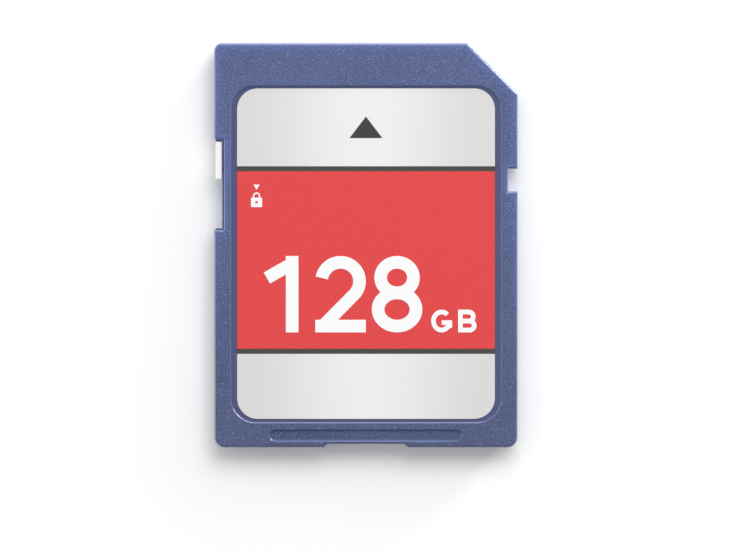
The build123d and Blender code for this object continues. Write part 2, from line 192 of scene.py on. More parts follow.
class Shade:
    """One value of a shader tree; arithmetic on it adds Math nodes."""

    def __init__(self, tree: ShaderTree, socket: bpy.types.NodeSocket) -> None:
        """Keep the tree and the output socket that holds the value."""
        self.tree = tree
        self.socket = socket

    def __add__(self, other: Value) -> Shade:
        """Sum of two values."""
        return self.tree.math("ADD", self, other)

    def __radd__(self, other: Value) -> Shade:
        """Sum with a plain number on the left."""
        return self.tree.math("ADD", other, self)

    def __sub__(self, other: Value) -> Shade:
        """Difference of two values."""
        return self.tree.math("SUBTRACT", self, other)

    def __rsub__(self, other: Value) -> Shade:
        """Difference from a plain number."""
        return self.tree.math("SUBTRACT", other, self)

    def __mul__(self, other: Value) -> Shade:
        """Product of two values."""
        return self.tree.math("MULTIPLY", self, other)

    def __rmul__(self, other: Value) -> Shade:
        """Product with a plain number on the left."""
        return self.tree.math("MULTIPLY", other, self)

    def __truediv__(self, other: Value) -> Shade:
        """Quotient of two values."""
        return self.tree.math("DIVIDE", self, other)

    def __mod__(self, other: Value) -> Shade:
        """Remainder that is never negative."""
        return self.tree.math("FLOORED_MODULO", self, other)

    def __abs__(self) -> Shade:
        """Size without sign."""
        return self.tree.math("ABSOLUTE", self)

    def above(self, level: float, blur: float) -> Shade:
        """Soft step from 0 to 1 as the value passes a level.

        Args:
            level: The value at the middle of the step.
            blur: The width of the step.

        Returns:
            The step, 0 below the level and 1 above it.
        """
        step = self.tree.node(
            "ShaderNodeMapRange",
            {"interpolation_type": "SMOOTHSTEP"},
            {"Value": self, "From Min": level - blur / 2, "From Max": level + blur / 2},
        )
        return Shade(self.tree, step.outputs["Result"])

    def between(self, low: float, high: float, blur: float) -> Shade:
        """Soft band that is 1 from one level to another and 0 outside them."""
        return self.above(low, blur) - self.above(high, blur)

    def about(self, middle: float, spread: float) -> Shade:
        """The same noise with another middle than 0.5 and another range than 1."""
        return self.tree.math("MULTIPLY_ADD", self, spread, middle - spread / 2)


Value = Shade | float


class ShaderTree(NodeTree):
    """A material whose shader is written as expressions."""

    def __init__(self, name: str) -> None:
        """Start an empty material.

        Args:
            name: The material's name.
        """
        self.material = bpy.data.materials.new(name)
        self.material.use_nodes = True
        super().__init__(self.material.node_tree)
        self.tree.nodes.clear()
        self.output = self.node("ShaderNodeOutputMaterial")

    def math(self, operation: str, *values: Value) -> Shade:
        """Add one Math node.

        Args:
            operation: The node's operation.
            values: One to three numbers or shades.

        Returns:
            The result.
        """
        identifiers = ("Value", "Value_001", "Value_002")
        made = self.node("ShaderNodeMath", {"operation": operation}, dict(zip(identifiers, values)))
        return Shade(self, made.outputs[0])

    def mix(self, factor: Value, first: Colour | Shade, second: Colour | Shade) -> Shade:
        """Blend two colours.

        Args:
            factor: 0 for the first colour, 1 for the second.
            first: A colour.
            second: Another colour.

        Returns:
            The blended colour.
        """
        made = self.node(
            "ShaderNodeMix",
            {"data_type": "RGBA"},
            {"Factor_Float": factor, "A_Color": first, "B_Color": second},
        )
        return Shade(self, self.socket(made.outputs, "Result_Color"))

    def millimetres(self, centre: Sequence[float] = (0.0, 0.0, 0.0)) -> Shade:
        """Place on the piece in millimetres.

        Args:
            centre: The point, in millimetres, that the pattern is centred on.

        Returns:
            A vector of the place, measured from that point.
        """
        coordinates = self.node("ShaderNodeTexCoord")
        scale = (1 / MM,) * 3
        shift = tuple(-value for value in centre)
        made = self.node(
            "ShaderNodeMapping",
            {"vector_type": "POINT"},
            {"Vector": coordinates.outputs["Object"], "Location": shift, "Scale": scale},
        )
        return Shade(self, made.outputs["Vector"])

    def attribute(self, name: str) -> Shade:
        """Value that the mesh holds under this name."""
        made = self.node("ShaderNodeAttribute", {"attribute_name": name})
        return Shade(self, made.outputs["Fac"])

    def axes(self, place: Shade) -> tuple[Shade, Shade, Shade]:
        """Split a place into its three coordinates."""
        made = self.node("ShaderNodeSeparateXYZ", inputs={"Vector": place})
        return tuple(Shade(self, socket) for socket in made.outputs)

    def depth(self, area: RoundedArea) -> Shade:
        """Distance inwards from the outline of a rounded area.

        Args:
            area: The area.

        Returns:
            The distance, in millimetres, below 0 outside the area.
        """
        across, along, _ = self.axes(self.millimetres(area.middle))
        beyond_side = abs(across) - (area.half_width - area.corner_radius)
        beyond_end = abs(along) - (area.half_length - area.corner_radius)
        outer_side = self.math("MAXIMUM", beyond_side, 0.0)
        outer_end = self.math("MAXIMUM", beyond_end, 0.0)
        corner = self.math("SQRT", outer_side * outer_side + outer_end * outer_end)
        inner = self.math("MINIMUM", self.math("MAXIMUM", beyond_side, beyond_end), 0.0)
        return area.corner_radius - corner - inner

    def noise(self, place: Shade, scale: float, detail: float = 2.0, roughness: float = 0.5) -> Shade:
        """Smooth random value over the surface.

        Args:
            place: Where to read it, in millimetres.
            scale: Blotches in each millimetre.
            detail: Octaves of finer blotches.
            roughness: Strength of the finer blotches.

        Returns:
            A value about 0.5.
        """
        made = self.node(
            "ShaderNodeTexNoise",
            {"noise_dimensions": "3D"},
            {"Vector": place, "Scale": scale, "Detail": detail, "Roughness": roughness},
        )
        return Shade(self, made.outputs[0])

    def bump(self, height: Shade, strength: float, distance: float) -> Shade:
        """Tilt the surface by a height.

        Args:
            height: The height, from 0 to 1.
            strength: Share of the tilt that is used.
            distance: The height of 1, in metres.

        Returns:
            The tilted normal.
        """
        made = self.node(
            "ShaderNodeBump",
            inputs={"Height": height, "Strength": strength, "Distance": distance},
        )
        return Shade(self, made.outputs["Normal"])

    def surface(self, **inputs: Any) -> bpy.types.Material:
        """End the tree in one Principled shader.

        Args:
            inputs: The shader's sockets, with underscores for spaces.

        Returns:
            The finished material.
        """
        named = {name.replace("_", " "): value for name, value in inputs.items()}
        shader = self.node("ShaderNodeBsdfPrincipled", inputs=named)
        self.tree.links.new(shader.outputs["BSDF"], self.output.inputs["Surface"])
        return self.material


@dataclass(frozen=True)
class RoundedArea:
    """A rectangle with round corners on the front of the card, in millimetres.

    Attributes:
        middle: Its middle.
        half_width: Half its width.
        half_length: Half its length.
        corner_radius: Its corner radius.
    """

    middle: tuple[float, float, float]
    half_width: float
    half_length: float
    corner_radius: float

    @classmethod
    def over(cls, low: Vector, high: Vector, corner_radius: float) -> RoundedArea:
        """Fill the upper face of a box.

        Args:
            low: Lowest corner of the box, in millimetres.
            high: Highest corner of the box.
            corner_radius: Corner radius of the area.

        Returns:
            The area.
        """
        middle = (low + high) / 2
        half = (high - low) / 2
        return cls((middle.x, middle.y, high.z), half.x, half.y, corner_radius)


CARD_OUTLINE = RoundedArea.over(*(corner / MM for corner in CAD_BOX), corner_radius=1.0)


@dataclass(frozen=True)
class MouldedPlastic:
    """Moulded plastic with a fine spark-eroded grain on its level faces and smooth walls.

    Attributes:
        name: The material's name.
        tones: Colours in the pits and on the tops of the grain.
        glint: Colour of the few grains that stand out, painted glints.
        smooth: Colour where the mould was polished.
        roughness: Roughness of the grained faces.
        wall_roughness: Roughness of the smooth walls.
        grain_scale: Grains in each millimetre.
        grain_height: Height of the grain, in metres.
        grain_contrast: Contrast of the tones in the grain.
        grain_sheen: Range of the roughness in the grain.
        tone_range: Range of tones from the pits to the tops.
        glint_scale: Painted glints for each grain.
        glint_level: Level of noise at which a glint stands out, and its blur.
        blotch_scale: Faint blotches in each millimetre.
        blotch_contrast: Contrast of the blotches.
        rim_gloss_and_highlight: Strength of the coat on the rounded rims and of the painted highlight
            that lightens them, 0 to 1.
        rim_painted_highlight: Rise of the tone on a rim, a painted highlight.
        rim_gloss: Refractive index of a burnished rim.
        painted_shade_end_tones: The two colours at the far end of the card, painted shade that makes the
            plastic darker towards that end, standing in for light that falls off away from the tip.
        painted_shade_span: Places along the card, in millimetres, between which the painted shade fades
            in.
        painted_glow_tones: The two colours close to the outline, a painted glow that stands in for light
            passing through the thin plastic, fading towards the far end.
        edge_width: Distance from the outline, in millimetres, over which those fade.
        outline: Outline of a piece with such edges.
        openings: Openings in the outline.
        corner_cut: Distance of the cut corner from the middle, in millimetres, square to the cut.
        polished: Area of the front that is free of grain.
        polished_depth: Depth of that area below the front, in millimetres.
    """

    name: str
    tones: Tones
    glint: Colour
    smooth: Colour
    roughness: float
    wall_roughness: float
    grain_scale: float
    grain_height: float
    grain_contrast: float = 2.0
    grain_sheen: float = 0.25
    tone_range: float = 0.9
    glint_scale: float = 0.8
    glint_level: Point = (0.74, 0.16)
    blotch_scale: float = 0.22
    blotch_contrast: float = 0.18
    rim_gloss_and_highlight: float = 0.0
    rim_painted_highlight: float = 0.22
    rim_gloss: float = 1.65
    painted_shade_end_tones: Tones | None = None
    painted_shade_span: Point = (-14.0, 12.0)
    painted_glow_tones: Tones | None = None
    edge_width: float = 0.9
    outline: RoundedArea | None = None
    openings: tuple[RoundedArea, ...] = ()
    corner_cut: float = 17.0
    polished: RoundedArea | None = None
    polished_depth: float = 0.3

    def material(self) -> bpy.types.Material:
        """Make the material.

        Returns:
            The material.
        """
        tree = ShaderTree(self.name)
        place = tree.millimetres()
        levelness = tree.attribute(LEVELNESS)
        level = levelness.above(LEVEL_FACE, FACE_BLUR)
        rim = self.rim_gloss_and_painted_highlight(levelness)
        polish = self.polish(tree)
        grained = level * (1.0 - polish)
        grain = tree.noise(place, self.grain_scale, detail=1.0, roughness=0.6)
        blotches = tree.noise(place, self.blotch_scale, detail=1.0).about(0.5, self.blotch_contrast)
        # The rounded rims are lightened by a painted highlight.
        tone = grain.about(0.0, self.grain_contrast) * grained + blotches + rim * self.rim_painted_highlight
        deep, light = self.tones_at(tree, level)
        colour = tree.mix(tone.above(0.5, self.tone_range), deep, light)
        # Painted glints: a few grains are lightened as if they caught the light.
        glints = tree.noise(place, self.grain_scale * self.glint_scale, detail=0.0)
        colour = tree.mix(glints.above(*self.glint_level) * grained, colour, self.glint)
        extra = grain.about(self.roughness - self.wall_roughness, self.grain_sheen)
        return tree.surface(
            Base_Color=tree.mix(polish * level, colour, self.smooth),
            Roughness=self.wall_roughness + extra * grained,
            Normal=tree.bump(grain * grained, strength=0.7, distance=self.grain_height),
            Coat_Weight=rim,
            Coat_Roughness=self.wall_roughness,
            Coat_IOR=self.rim_gloss,
        )

    def rim_gloss_and_painted_highlight(self, levelness: Shade) -> Value:
        """Coat and painted highlight on the rounded rims at each place, none on level faces and walls.
        """
        if not self.rim_gloss_and_highlight:
            return 0.0
        return levelness.between(STEEP_FACE, LEVEL_FACE, FACE_BLUR) * self.rim_gloss_and_highlight

    def tones_at(self, tree: ShaderTree, level: Shade) -> Sequence[Colour | Shade]:
        """Colours in the pits and on the tops at each place, with painted shade towards the far end and
        a painted glow near the outline.

        Args:
            tree: The material's tree.
            level: 1 on level faces, 0 on walls.

        Returns:
            The two colours.
        """
        if self.painted_shade_end_tones is None:
            return self.tones
        # Painted shade: the plastic darkens towards the far end of the card, as if the light fell off.
        painted_light_falloff = self.painted_light_falloff(tree)
        tones = [tree.mix(painted_light_falloff, end, tip) for end, tip in zip(self.painted_shade_end_tones, self.tones)]
        if self.outline is None or self.painted_glow_tones is None:
            return tones
        # Painted glow: level faces near the outline are lighter and bluer, fading towards the far end.
        close = self.closeness(tree) * painted_light_falloff * level
        return [tree.mix(close, inner, edge) for inner, edge in zip(tones, self.painted_glow_tones)]

    def painted_light_falloff(self, tree: ShaderTree) -> Shade:
        """Painted light falloff along the card, from 0 at its far end to 1 at its tip."""
        _, along, _ = tree.axes(tree.millimetres())
        end, tip = self.painted_shade_span
        return along.above((end + tip) / 2, tip - end)

    def closeness(self, tree: ShaderTree) -> Shade:
        """Closeness to the outline at each place, which sets where the painted glow lies.

        Args:
            tree: The material's tree.

        Returns:
            1 at the outline, fading to 0 inside it.
        """
        across, along, _ = tree.axes(tree.millimetres())
        nearest = self.corner_cut - (across + along) / math.sqrt(2.0)
        nearest = tree.math("MINIMUM", nearest, tree.depth(self.outline))
        for opening in self.openings:
            nearest = tree.math("MINIMUM", nearest, 0.0 - tree.depth(opening))
        return 1.0 - nearest.above(self.edge_width / 2, self.edge_width)

    def polish(self, tree: ShaderTree) -> Value:
        """Share of polish at each place.

        Args:
            tree: The material's tree.

        Returns:
            1 inside the polished area, 0 elsewhere.
        """
        if self.polished is None:
            return 0.0
        inside = tree.depth(self.polished).above(level=0.0, blur=0.08)
        _, _, height = tree.axes(tree.millimetres(self.polished.middle))
        return inside * height.above(level=-self.polished_depth, blur=0.05)


@dataclass(frozen=True)
class PrintField:
    """A field of one colour across the label.

    Attributes:
        low: Lower edge, in millimetres along the card.
        high: Upper edge, in millimetres along the card.
        colour: Colour of the field.
    """

    low: float
    high: float
    colour: Colour


@dataclass(frozen=True)
class PrintedFilm:
    """Silvered film with a fade across it and fields of colour.

    Attributes:
        name: The material's name.
        centre: Silver along the middle of the label.
        side: Silver along its long edges.
        fleck: Colour of the fine flecks in the film.
        half_width: Half the width of the label, in millimetres.
        fields: Fields from the lowest layer up.
        field_blur: Width of the soft edge of a field, in millimetres.
        fleck_scale: Flecks in each millimetre.
        peel_scale: Ripples in each millimetre.
        peel_height: Height of the ripples, in metres.
        roughness: Roughness of the print.
        silver_gloss: How much smoother the bare silver is.
    """

    name: str
    centre: Colour
    side: Colour
    fleck: Colour
    half_width: float
    fields: tuple[PrintField, ...]
    field_blur: float = 0.03
    fleck_scale: float = 11.0
    peel_scale: float = 2.4
    peel_height: float = 0.003 * MM
    roughness: float = 0.36
    silver_gloss: float = 0.04

    def material(self) -> bpy.types.Material:
        """Make the material.

        Returns:
            The material.
        """
        tree = ShaderTree(self.name)
        place = tree.millimetres()
        across, along, _ = tree.axes(place)
        fade = (abs(across) / self.half_width).above(level=0.5, blur=0.9)
        colour = tree.mix(fade, self.centre, self.side)
        layers = [along.between(field.low, field.high, self.field_blur) for field in self.fields]
        for field, layer in zip(self.fields, layers):
            colour = tree.mix(layer, colour, field.colour)
        silver = 1.0 - layers[0]
        peel = tree.noise(place, self.peel_scale, detail=1.0)
        flecks = tree.noise(place, self.fleck_scale)
        return tree.surface(
            Base_Color=tree.mix(flecks.about(middle=0.02, spread=0.06), colour, self.fleck),
            Roughness=peel.about(self.roughness, spread=0.04) - silver * self.silver_gloss,
            Normal=tree.bump(peel, strength=0.03, distance=self.peel_height),
            Specular_IOR_Level=0.2,
        )


@dataclass(frozen=True)
class Ink:
    """Printed ink, slightly uneven in tone.

    Attributes:
        name: The material's name.
        colour: Full tone.
        thin: Tone where the ink lies thin.
        cover_scale: Thin places in each millimetre.
        roughness: Middle roughness.
    """

    name: str
    colour: Colour
    thin: Colour
    cover_scale: float = 5.0
    roughness: float = 0.34

    def material(self) -> bpy.types.Material:
        """Make the material.

        Returns:
            The material.
        """
        tree = ShaderTree(self.name)
        cover = tree.noise(tree.millimetres(), self.cover_scale, detail=3.0)
        return tree.surface(
            Base_Color=tree.mix(cover.above(level=0.35, blur=0.5), self.thin, self.colour),
            Roughness=cover.about(self.roughness, spread=0.1),
            Specular_IOR_Level=0.3,
        )


@dataclass(frozen=True)
class PlatedMetal:
    """Thin bright plating with a faint orange peel.

    Attributes:
        name: The material's name.
        light: Colour of the clean plating.
        deep: Colour where it is tarnished.
        roughness: Middle roughness.
        peel_scale: Ripples in each millimetre.
        peel_height: Height of the ripples, in metres.
        tarnish_scale: Tarnished places in each millimetre.
    """

    name: str
    light: Colour
    deep: Colour
    roughness: float
    peel_scale: float
    peel_height: float = 0.004 * MM
    tarnish_scale: float = 0.8

    def material(self) -> bpy.types.Material:
        """Make the material.

        Returns:
            The material.
        """
        tree = ShaderTree(self.name)
        place = tree.millimetres()
        peel = tree.noise(place, self.peel_scale, detail=3.0, roughness=0.6)
        tarnish = tree.noise(place, self.tarnish_scale).above(level=0.55, blur=0.5)
        return tree.surface(
            Base_Color=tree.mix(tarnish, self.light, self.deep),
            Metallic=1.0,
            Roughness=peel.about(self.roughness, spread=0.16),
            Normal=tree.bump(peel, strength=0.2, distance=self.peel_height),
        )


@dataclass(frozen=True)
class SolderMask:
    """Green resist over copper tracks on glass laminate.

    Attributes:
        name: The material's name.
        bare: Colour over bare laminate.
        copper: Colour over copper.
        edge: Colour of the cut laminate.
        faces: Heights of the board's two faces, in millimetres.
        resist: Thickness of the resist, in millimetres.
        track_pitch: Spacing of the tracks, in millimetres.
        run_scale: Runs of tracks in each millimetre.
        pour_scale: Areas of copper in each millimetre.
        weave_scale: Threads of the glass in each millimetre.
        weave_share: Share of the threads in the relief.
        relief: Height of the relief, in metres.
        roughness: Middle roughness.
    """

    name: str
    bare: Colour
    copper: Colour
    edge: Colour
    faces: Point
    resist: float = 0.03
    track_pitch: float = 0.42
    run_scale: float = 0.35
    pour_scale: float = 0.16
    weave_scale: float = 6.0
    weave_share: float = 0.2
    relief: float = 0.02 * MM
    roughness: float = 0.34

    def material(self) -> bpy.types.Material:
        """Make the material.

        Returns:
            The material.
        """
        tree = ShaderTree(self.name)
        place = tree.millimetres()
        across, _, upwards = tree.axes(place)
        lanes = abs((across / self.track_pitch) % 1.0 - 0.5).above(level=0.22, blur=0.08)
        tracks = lanes * tree.noise(place, self.run_scale, detail=0.0).above(level=0.52, blur=0.02)
        pour = tree.noise(place, self.pour_scale, detail=0.0).above(level=0.55, blur=0.01)
        copper = tracks + pour - tracks * pour
        low, high = self.faces
        cut = upwards.between(low + self.resist, high - self.resist, self.resist / 2)
        weave = tree.noise(place, self.weave_scale, detail=1.0)
        height = copper * (1.0 - self.weave_share) + weave * self.weave_share
        return tree.surface(
            Base_Color=tree.mix(cut, tree.mix(copper, self.bare, self.copper), self.edge),
            Roughness=weave.about(self.roughness, spread=0.12),
            Normal=tree.bump(height, strength=0.3, distance=self.relief),
            Coat_Weight=0.4,
            Coat_Roughness=0.15,
        )


@dataclass(frozen=True)
class MouldedResin:
    """Matt black packaging resin with glassy filler specks.

    Attributes:
        name: The material's name.
        dark: Colour of the resin.
        speck: Colour of the filler.
        matt_scale: Pits in each millimetre.
        matt_height: Depth of the pits, in metres.
        speck_scale: Specks in each millimetre.
        roughness: Middle roughness.
    """

    name: str
    dark: Colour
    speck: Colour
    matt_scale: float = 9.0
    matt_height: float = 0.008 * MM
    speck_scale: float = 26.0
    roughness: float = 0.58

    def material(self) -> bpy.types.Material:
        """Make the material.

        Returns:
            The material.
        """
        tree = ShaderTree(self.name)
        place = tree.millimetres()
        matt = tree.noise(place, self.matt_scale, detail=3.0, roughness=0.7)
        specks = tree.noise(place, self.speck_scale, detail=1.0).above(level=0.66, blur=0.12)
        return tree.surface(
            Base_Color=tree.mix(specks, self.dark, self.speck),
            Roughness=matt.about(self.roughness, spread=0.2),
            Normal=tree.bump(matt, strength=0.35, distance=self.matt_height),
        )


@dataclass(frozen=True)
class ChipCeramic:
    """Ceramic block with tinned ends.

    Attributes:
        name: The material's name.
        body: Colour of the ceramic.
        shade: Colour of its darker places.
        tin: Colour of the tinned ends.
        centre: Middle of the block, in millimetres.
        half_body: Half the length of the bare ceramic, in millimetres.
        bloom_scale: Uneven places in each millimetre.
        bloom_height: Height of the unevenness, in metres.
        roughness: Middle roughness of the ceramic.
        tin_gloss: How much smoother the tin is.
    """

    name: str
    body: Colour
    shade: Colour
    tin: Colour
    centre: Vector
    half_body: float
    bloom_scale: float = 8.0
    bloom_height: float = 0.006 * MM
    roughness: float = 0.5
    tin_gloss: float = 0.12

    def material(self) -> bpy.types.Material:
        """Make the material.

        Returns:
            The material.
        """
        tree = ShaderTree(self.name)
        place = tree.millimetres(self.centre)
        across, _, _ = tree.axes(place)
        ends = abs(across).above(self.half_body, blur=0.02)
        bloom = tree.noise(place, self.bloom_scale, detail=3.0)
        tone = tree.mix(bloom.about(middle=0.15, spread=0.5), self.body, self.shade)
        return tree.surface(
            Base_Color=tree.mix(ends, tone, self.tin),
            Metallic=ends,
            Roughness=bloom.about(self.roughness, spread=0.15) - ends * self.tin_gloss,
            Normal=tree.bump(bloom, strength=0.25, distance=self.bloom_height),
        )


@dataclass(frozen=True)
class PaleFloor:
    """Matt paper sweep under the card.

    Attributes:
        name: The material's name.
        colour: Colour of the paper.
        shade: Colour of its faint mottling.
        lift: Brightening of the far paper where it is looked at, which lights nothing else.
        painted_shadow_lift: The same beside the card, lower, so that the paper there is darker, a
            painted shadow round the card.
        card: Outline of the card on the paper.
        spread: Distance from the card, in millimetres, over which the painted shadow fades and the paper
            brightens.
        mottle_scale: Mottles in each millimetre.
    """

    name: str
    colour: Colour
    shade: Colour
    lift: Colour
    painted_shadow_lift: Colour
    card: RoundedArea
    spread: float
    mottle_scale: float = 0.05

    def material(self) -> bpy.types.Material:
        """Make the material.

        Returns:
            The material.
        """
        tree = ShaderTree(self.name)
        mottle = tree.noise(tree.millimetres(), self.mottle_scale).above(level=0.5, blur=0.6)
        rays = tree.node("ShaderNodeLightPath").outputs
        looked_at = (
            Shade(tree, rays["Is Camera Ray"])
            + Shade(tree, rays["Is Glossy Ray"])
            + Shade(tree, rays["Is Transmission Ray"])
        )
        # Painted shadow: less brightening beside the card darkens the paper round it.
        beside = 0.0 - tree.depth(self.card)
        lift = tree.mix(beside.above(self.spread / 2, self.spread), self.painted_shadow_lift, self.lift)
        return tree.surface(
            Base_Color=tree.mix(mottle, self.colour, self.shade),
            Roughness=0.9,
            Specular_IOR_Level=0.2,
            Emission_Color=tree.mix(looked_at, BLACK, lift),
            Emission_Strength=1.0,
        )


class GeometryTree(NodeTree):
    """A Geometry Nodes tree with named inputs that ends in a plain mesh of one material."""

    def __init__(self, name: str, sizes: Sequence[str]) -> None:
        """Start a tree.

        Args:
            name: The tree's name.
            sizes: Names of its sizes, in millimetres.
        """
        super().__init__(bpy.data.node_groups.new(name, "GeometryNodeTree"))
        sockets = {
            "Geometry": "NodeSocketGeometry",
            **dict.fromkeys(sizes, "NodeSocketFloat"),
            "Place": "NodeSocketVector",
            "Material": "NodeSocketMaterial",
        }
        self.identifiers = {}
        for label, kind in sockets.items():
            made = self.tree.interface.new_socket(label, in_out="INPUT", socket_type=kind)
            self.identifiers[label] = made.identifier
        self.tree.interface.new_socket("Geometry", in_out="OUTPUT", socket_type="NodeSocketGeometry")
        self.given = self.node("NodeGroupInput").outputs

    def shape(
        self,
        kind: str,
        settings: Mapping[str, Any] | None = None,
        **inputs: Any,
    ) -> bpy.types.NodeSocket:
        """Add a node and take the shape that it makes.

        Args:
            kind: The node's type.
            settings: Properties of the node.
            inputs: Its sockets, with underscores for spaces.

        Returns:
            The node's first output.
        """
        named = {name.replace("_", " "): value for name, value in inputs.items()}
        return self.node(kind, settings, named).outputs[0]

    def rectangle(self, width: str, height: str) -> bpy.types.NodeSocket:
        """Draw a rectangle about the origin.

        Args:
            width: The tree's size that gives its width.
            height: The tree's size that gives its height.

        Returns:
            Its outline.
        """
        return self.shape(
            "GeometryNodeCurvePrimitiveQuadrilateral",
            {"mode": "RECTANGLE"},
            Width=self.given[width],
            Height=self.given[height],
        )

    def raised(self, outline: bpy.types.NodeSocket) -> bpy.types.NodeSocket:
        """Fill an outline and raise it by the tree's Thickness.

        Args:
            outline: Closed splines.

        Returns:
            A closed plate.
        """
        face = self.shape("GeometryNodeFillCurve", {"mode": "NGONS"}, Curve=outline)
        upper = self.shape(
            "GeometryNodeExtrudeMesh",
            {"mode": "FACES"},
            Mesh=face,
            Offset_Scale=self.given["Thickness"],
            Individual=False,
        )
        under = self.shape("GeometryNodeFlipFaces", Mesh=face)
        joined = self.shape("GeometryNodeJoinGeometry", Geometry=[upper, under])
        return self.shape("GeometryNodeMergeByDistance", Geometry=joined, Distance=WELD)

    def end(self, geometry: bpy.types.NodeSocket) -> None:
        """Put the shape in its place and close the tree.

        Args:
            geometry: The socket that holds the made shape.
        """
        placed = self.shape(
            "GeometryNodeTransform",
            Geometry=geometry,
            Translation=self.given["Place"],
        )
        real = self.shape("GeometryNodeRealizeInstances", Geometry=placed)
        dressed = self.shape(
            "GeometryNodeSetMaterial",
            Geometry=real,
            Material=self.given["Material"],
        )
        self.node("NodeGroupOutput", inputs={"Geometry": dressed})

    def grow(self, host: bpy.types.Object, **values: Any) -> None:
        """Put the tree on an object.

        Args:
            host: The object that the tree works on.
            values: The named inputs, with underscores for spaces.
        """
        modifier = host.modifiers.new(self.tree.name, "NODES")
        modifier.node_group = self.tree
        for label, value in values.items():
            modifier[self.identifiers[label.replace("_", " ")]] = value


def rounded_plate_tree(corner_steps: int = 12) -> GeometryTree:
    """Make the tree of a flat plate with rounded corners.

    Args:
        corner_steps: Points round each corner.

    Returns:
        The tree.
    """
    tree = GeometryTree("rounded_plate", ("Width", "Length", "Corner Radius", "Thickness"))
    outline = tree.shape(
        "GeometryNodeFilletCurve",
        {"mode": "POLY"},
        Curve=tree.rectangle("Width", "Length"),
        Count=corner_steps,
        Radius=tree.given["Corner Radius"],
    )
    plate = tree.raised(outline)
    tree.end(tree.shape("GeometryNodeSetShadeSmooth", Geometry=plate, Shade_Smooth=True))
    return tree


def flat_shape_tree() -> GeometryTree:
    """Make the tree of a flat shape inside the closed splines of a curve.

    Returns:
        The tree.
    """
    tree = GeometryTree("flat_shape", ("Thickness",))
    tree.end(tree.raised(tree.given["Geometry"]))
    return tree


def pen_stroke_tree() -> GeometryTree:
    """Make the tree that draws flat pen strokes along the splines of a curve.

    Returns:
        The tree.
    """
    tree = GeometryTree("pen_stroke", ("Pen Width", "Ink Height"))
    upright = tree.shape("GeometryNodeSetCurveNormal", {"mode": "Z_UP"}, Curve=tree.given["Geometry"])
    strokes = tree.shape(
        "GeometryNodeCurveToMesh",
        Curve=upright,
        Profile_Curve=tree.rectangle("Pen Width", "Ink Height"),
        Fill_Caps=True,
    )
    merged = tree.shape(
        "GeometryNodeMeshBoolean",
        {"operation": "UNION", "solver": "EXACT"},
        Mesh_2=[strokes],
        Self_Intersection=True,
    )
    tree.end(tree.shape("GeometryNodeSetShadeSmooth", Geometry=merged, Shade_Smooth=False))
    return tree


def new_object(name: str, data: bpy.types.ID | None = None) -> bpy.types.Object:
    """Add an object at the origin.

    Args:
        name: The object's name.
        data: Its mesh, curve, lamp or camera, or nothing for an empty mesh.

    Returns:
        The object, linked to the scene.
    """
    made = bpy.data.objects.new(name, data or bpy.data.meshes.new(name))
    bpy.context.scene.collection.objects.link(made)
    return made


def settled(host: bpy.types.Object) -> bpy.types.Object:
    """Turn an object and its modifiers into a plain mesh object.

    Args:
        host: The object, made in millimetres, which is removed.

    Returns:
        A new object of the same name, in metres, with no modifiers.
    """
    depsgraph = bpy.context.evaluated_depsgraph_get()
    mesh = bpy.data.meshes.new_from_object(host.evaluated_get(depsgraph), depsgraph=depsgraph)
    name = host.name
    bpy.data.objects.remove(host)
    mesh.name = name
    mesh.transform(Matrix.Scale(MM, 4))
    levels = mesh.attributes.new(LEVELNESS, "FLOAT", "FACE")
    levels.data.foreach_set("value", [abs(face.normal.z) for face in mesh.polygons])
    return new_object(name, mesh)


def soften(host: bpy.types.Object, width: float, segments: int, sharpest: float) -> None:
    """Round the sharp edges of an object and even its shading.

    Args:
        host: The object.
        width: Width of the rounding, in millimetres.
        segments: Faces across the rounding.
        sharpest: Edges that turn by more than this many degrees are rounded.
    """
    bevel = host.modifiers.new("soft_edges", "BEVEL")
    bevel.width = width
    bevel.segments = segments
    bevel.limit_method = "ANGLE"
    bevel.angle_limit = math.radians(sharpest)
    bevel.harden_normals = False
    host.modifiers.new("even_shading", "WEIGHTED_NORMAL").keep_sharp = True


def handed_over(
    piece: bpy.types.Object,
    body: Body,
    slot: Slot,
    replaced: Sequence[str] = (),
) -> bpy.types.Object:
    """Join a piece to the frame and report it.

    Args:
        piece: The finished piece.
        body: The body that it moves with.
        slot: The record's slot for its finish; not used.
        replaced: The nodes that it stands for.

    Returns:
        The piece.
    """
    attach(piece, body.value)
    if replaced:
        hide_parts(*replaced)
    log.info("%s rides on %s, %d faces", piece.name, body.value, len(piece.data.polygons))
    return piece


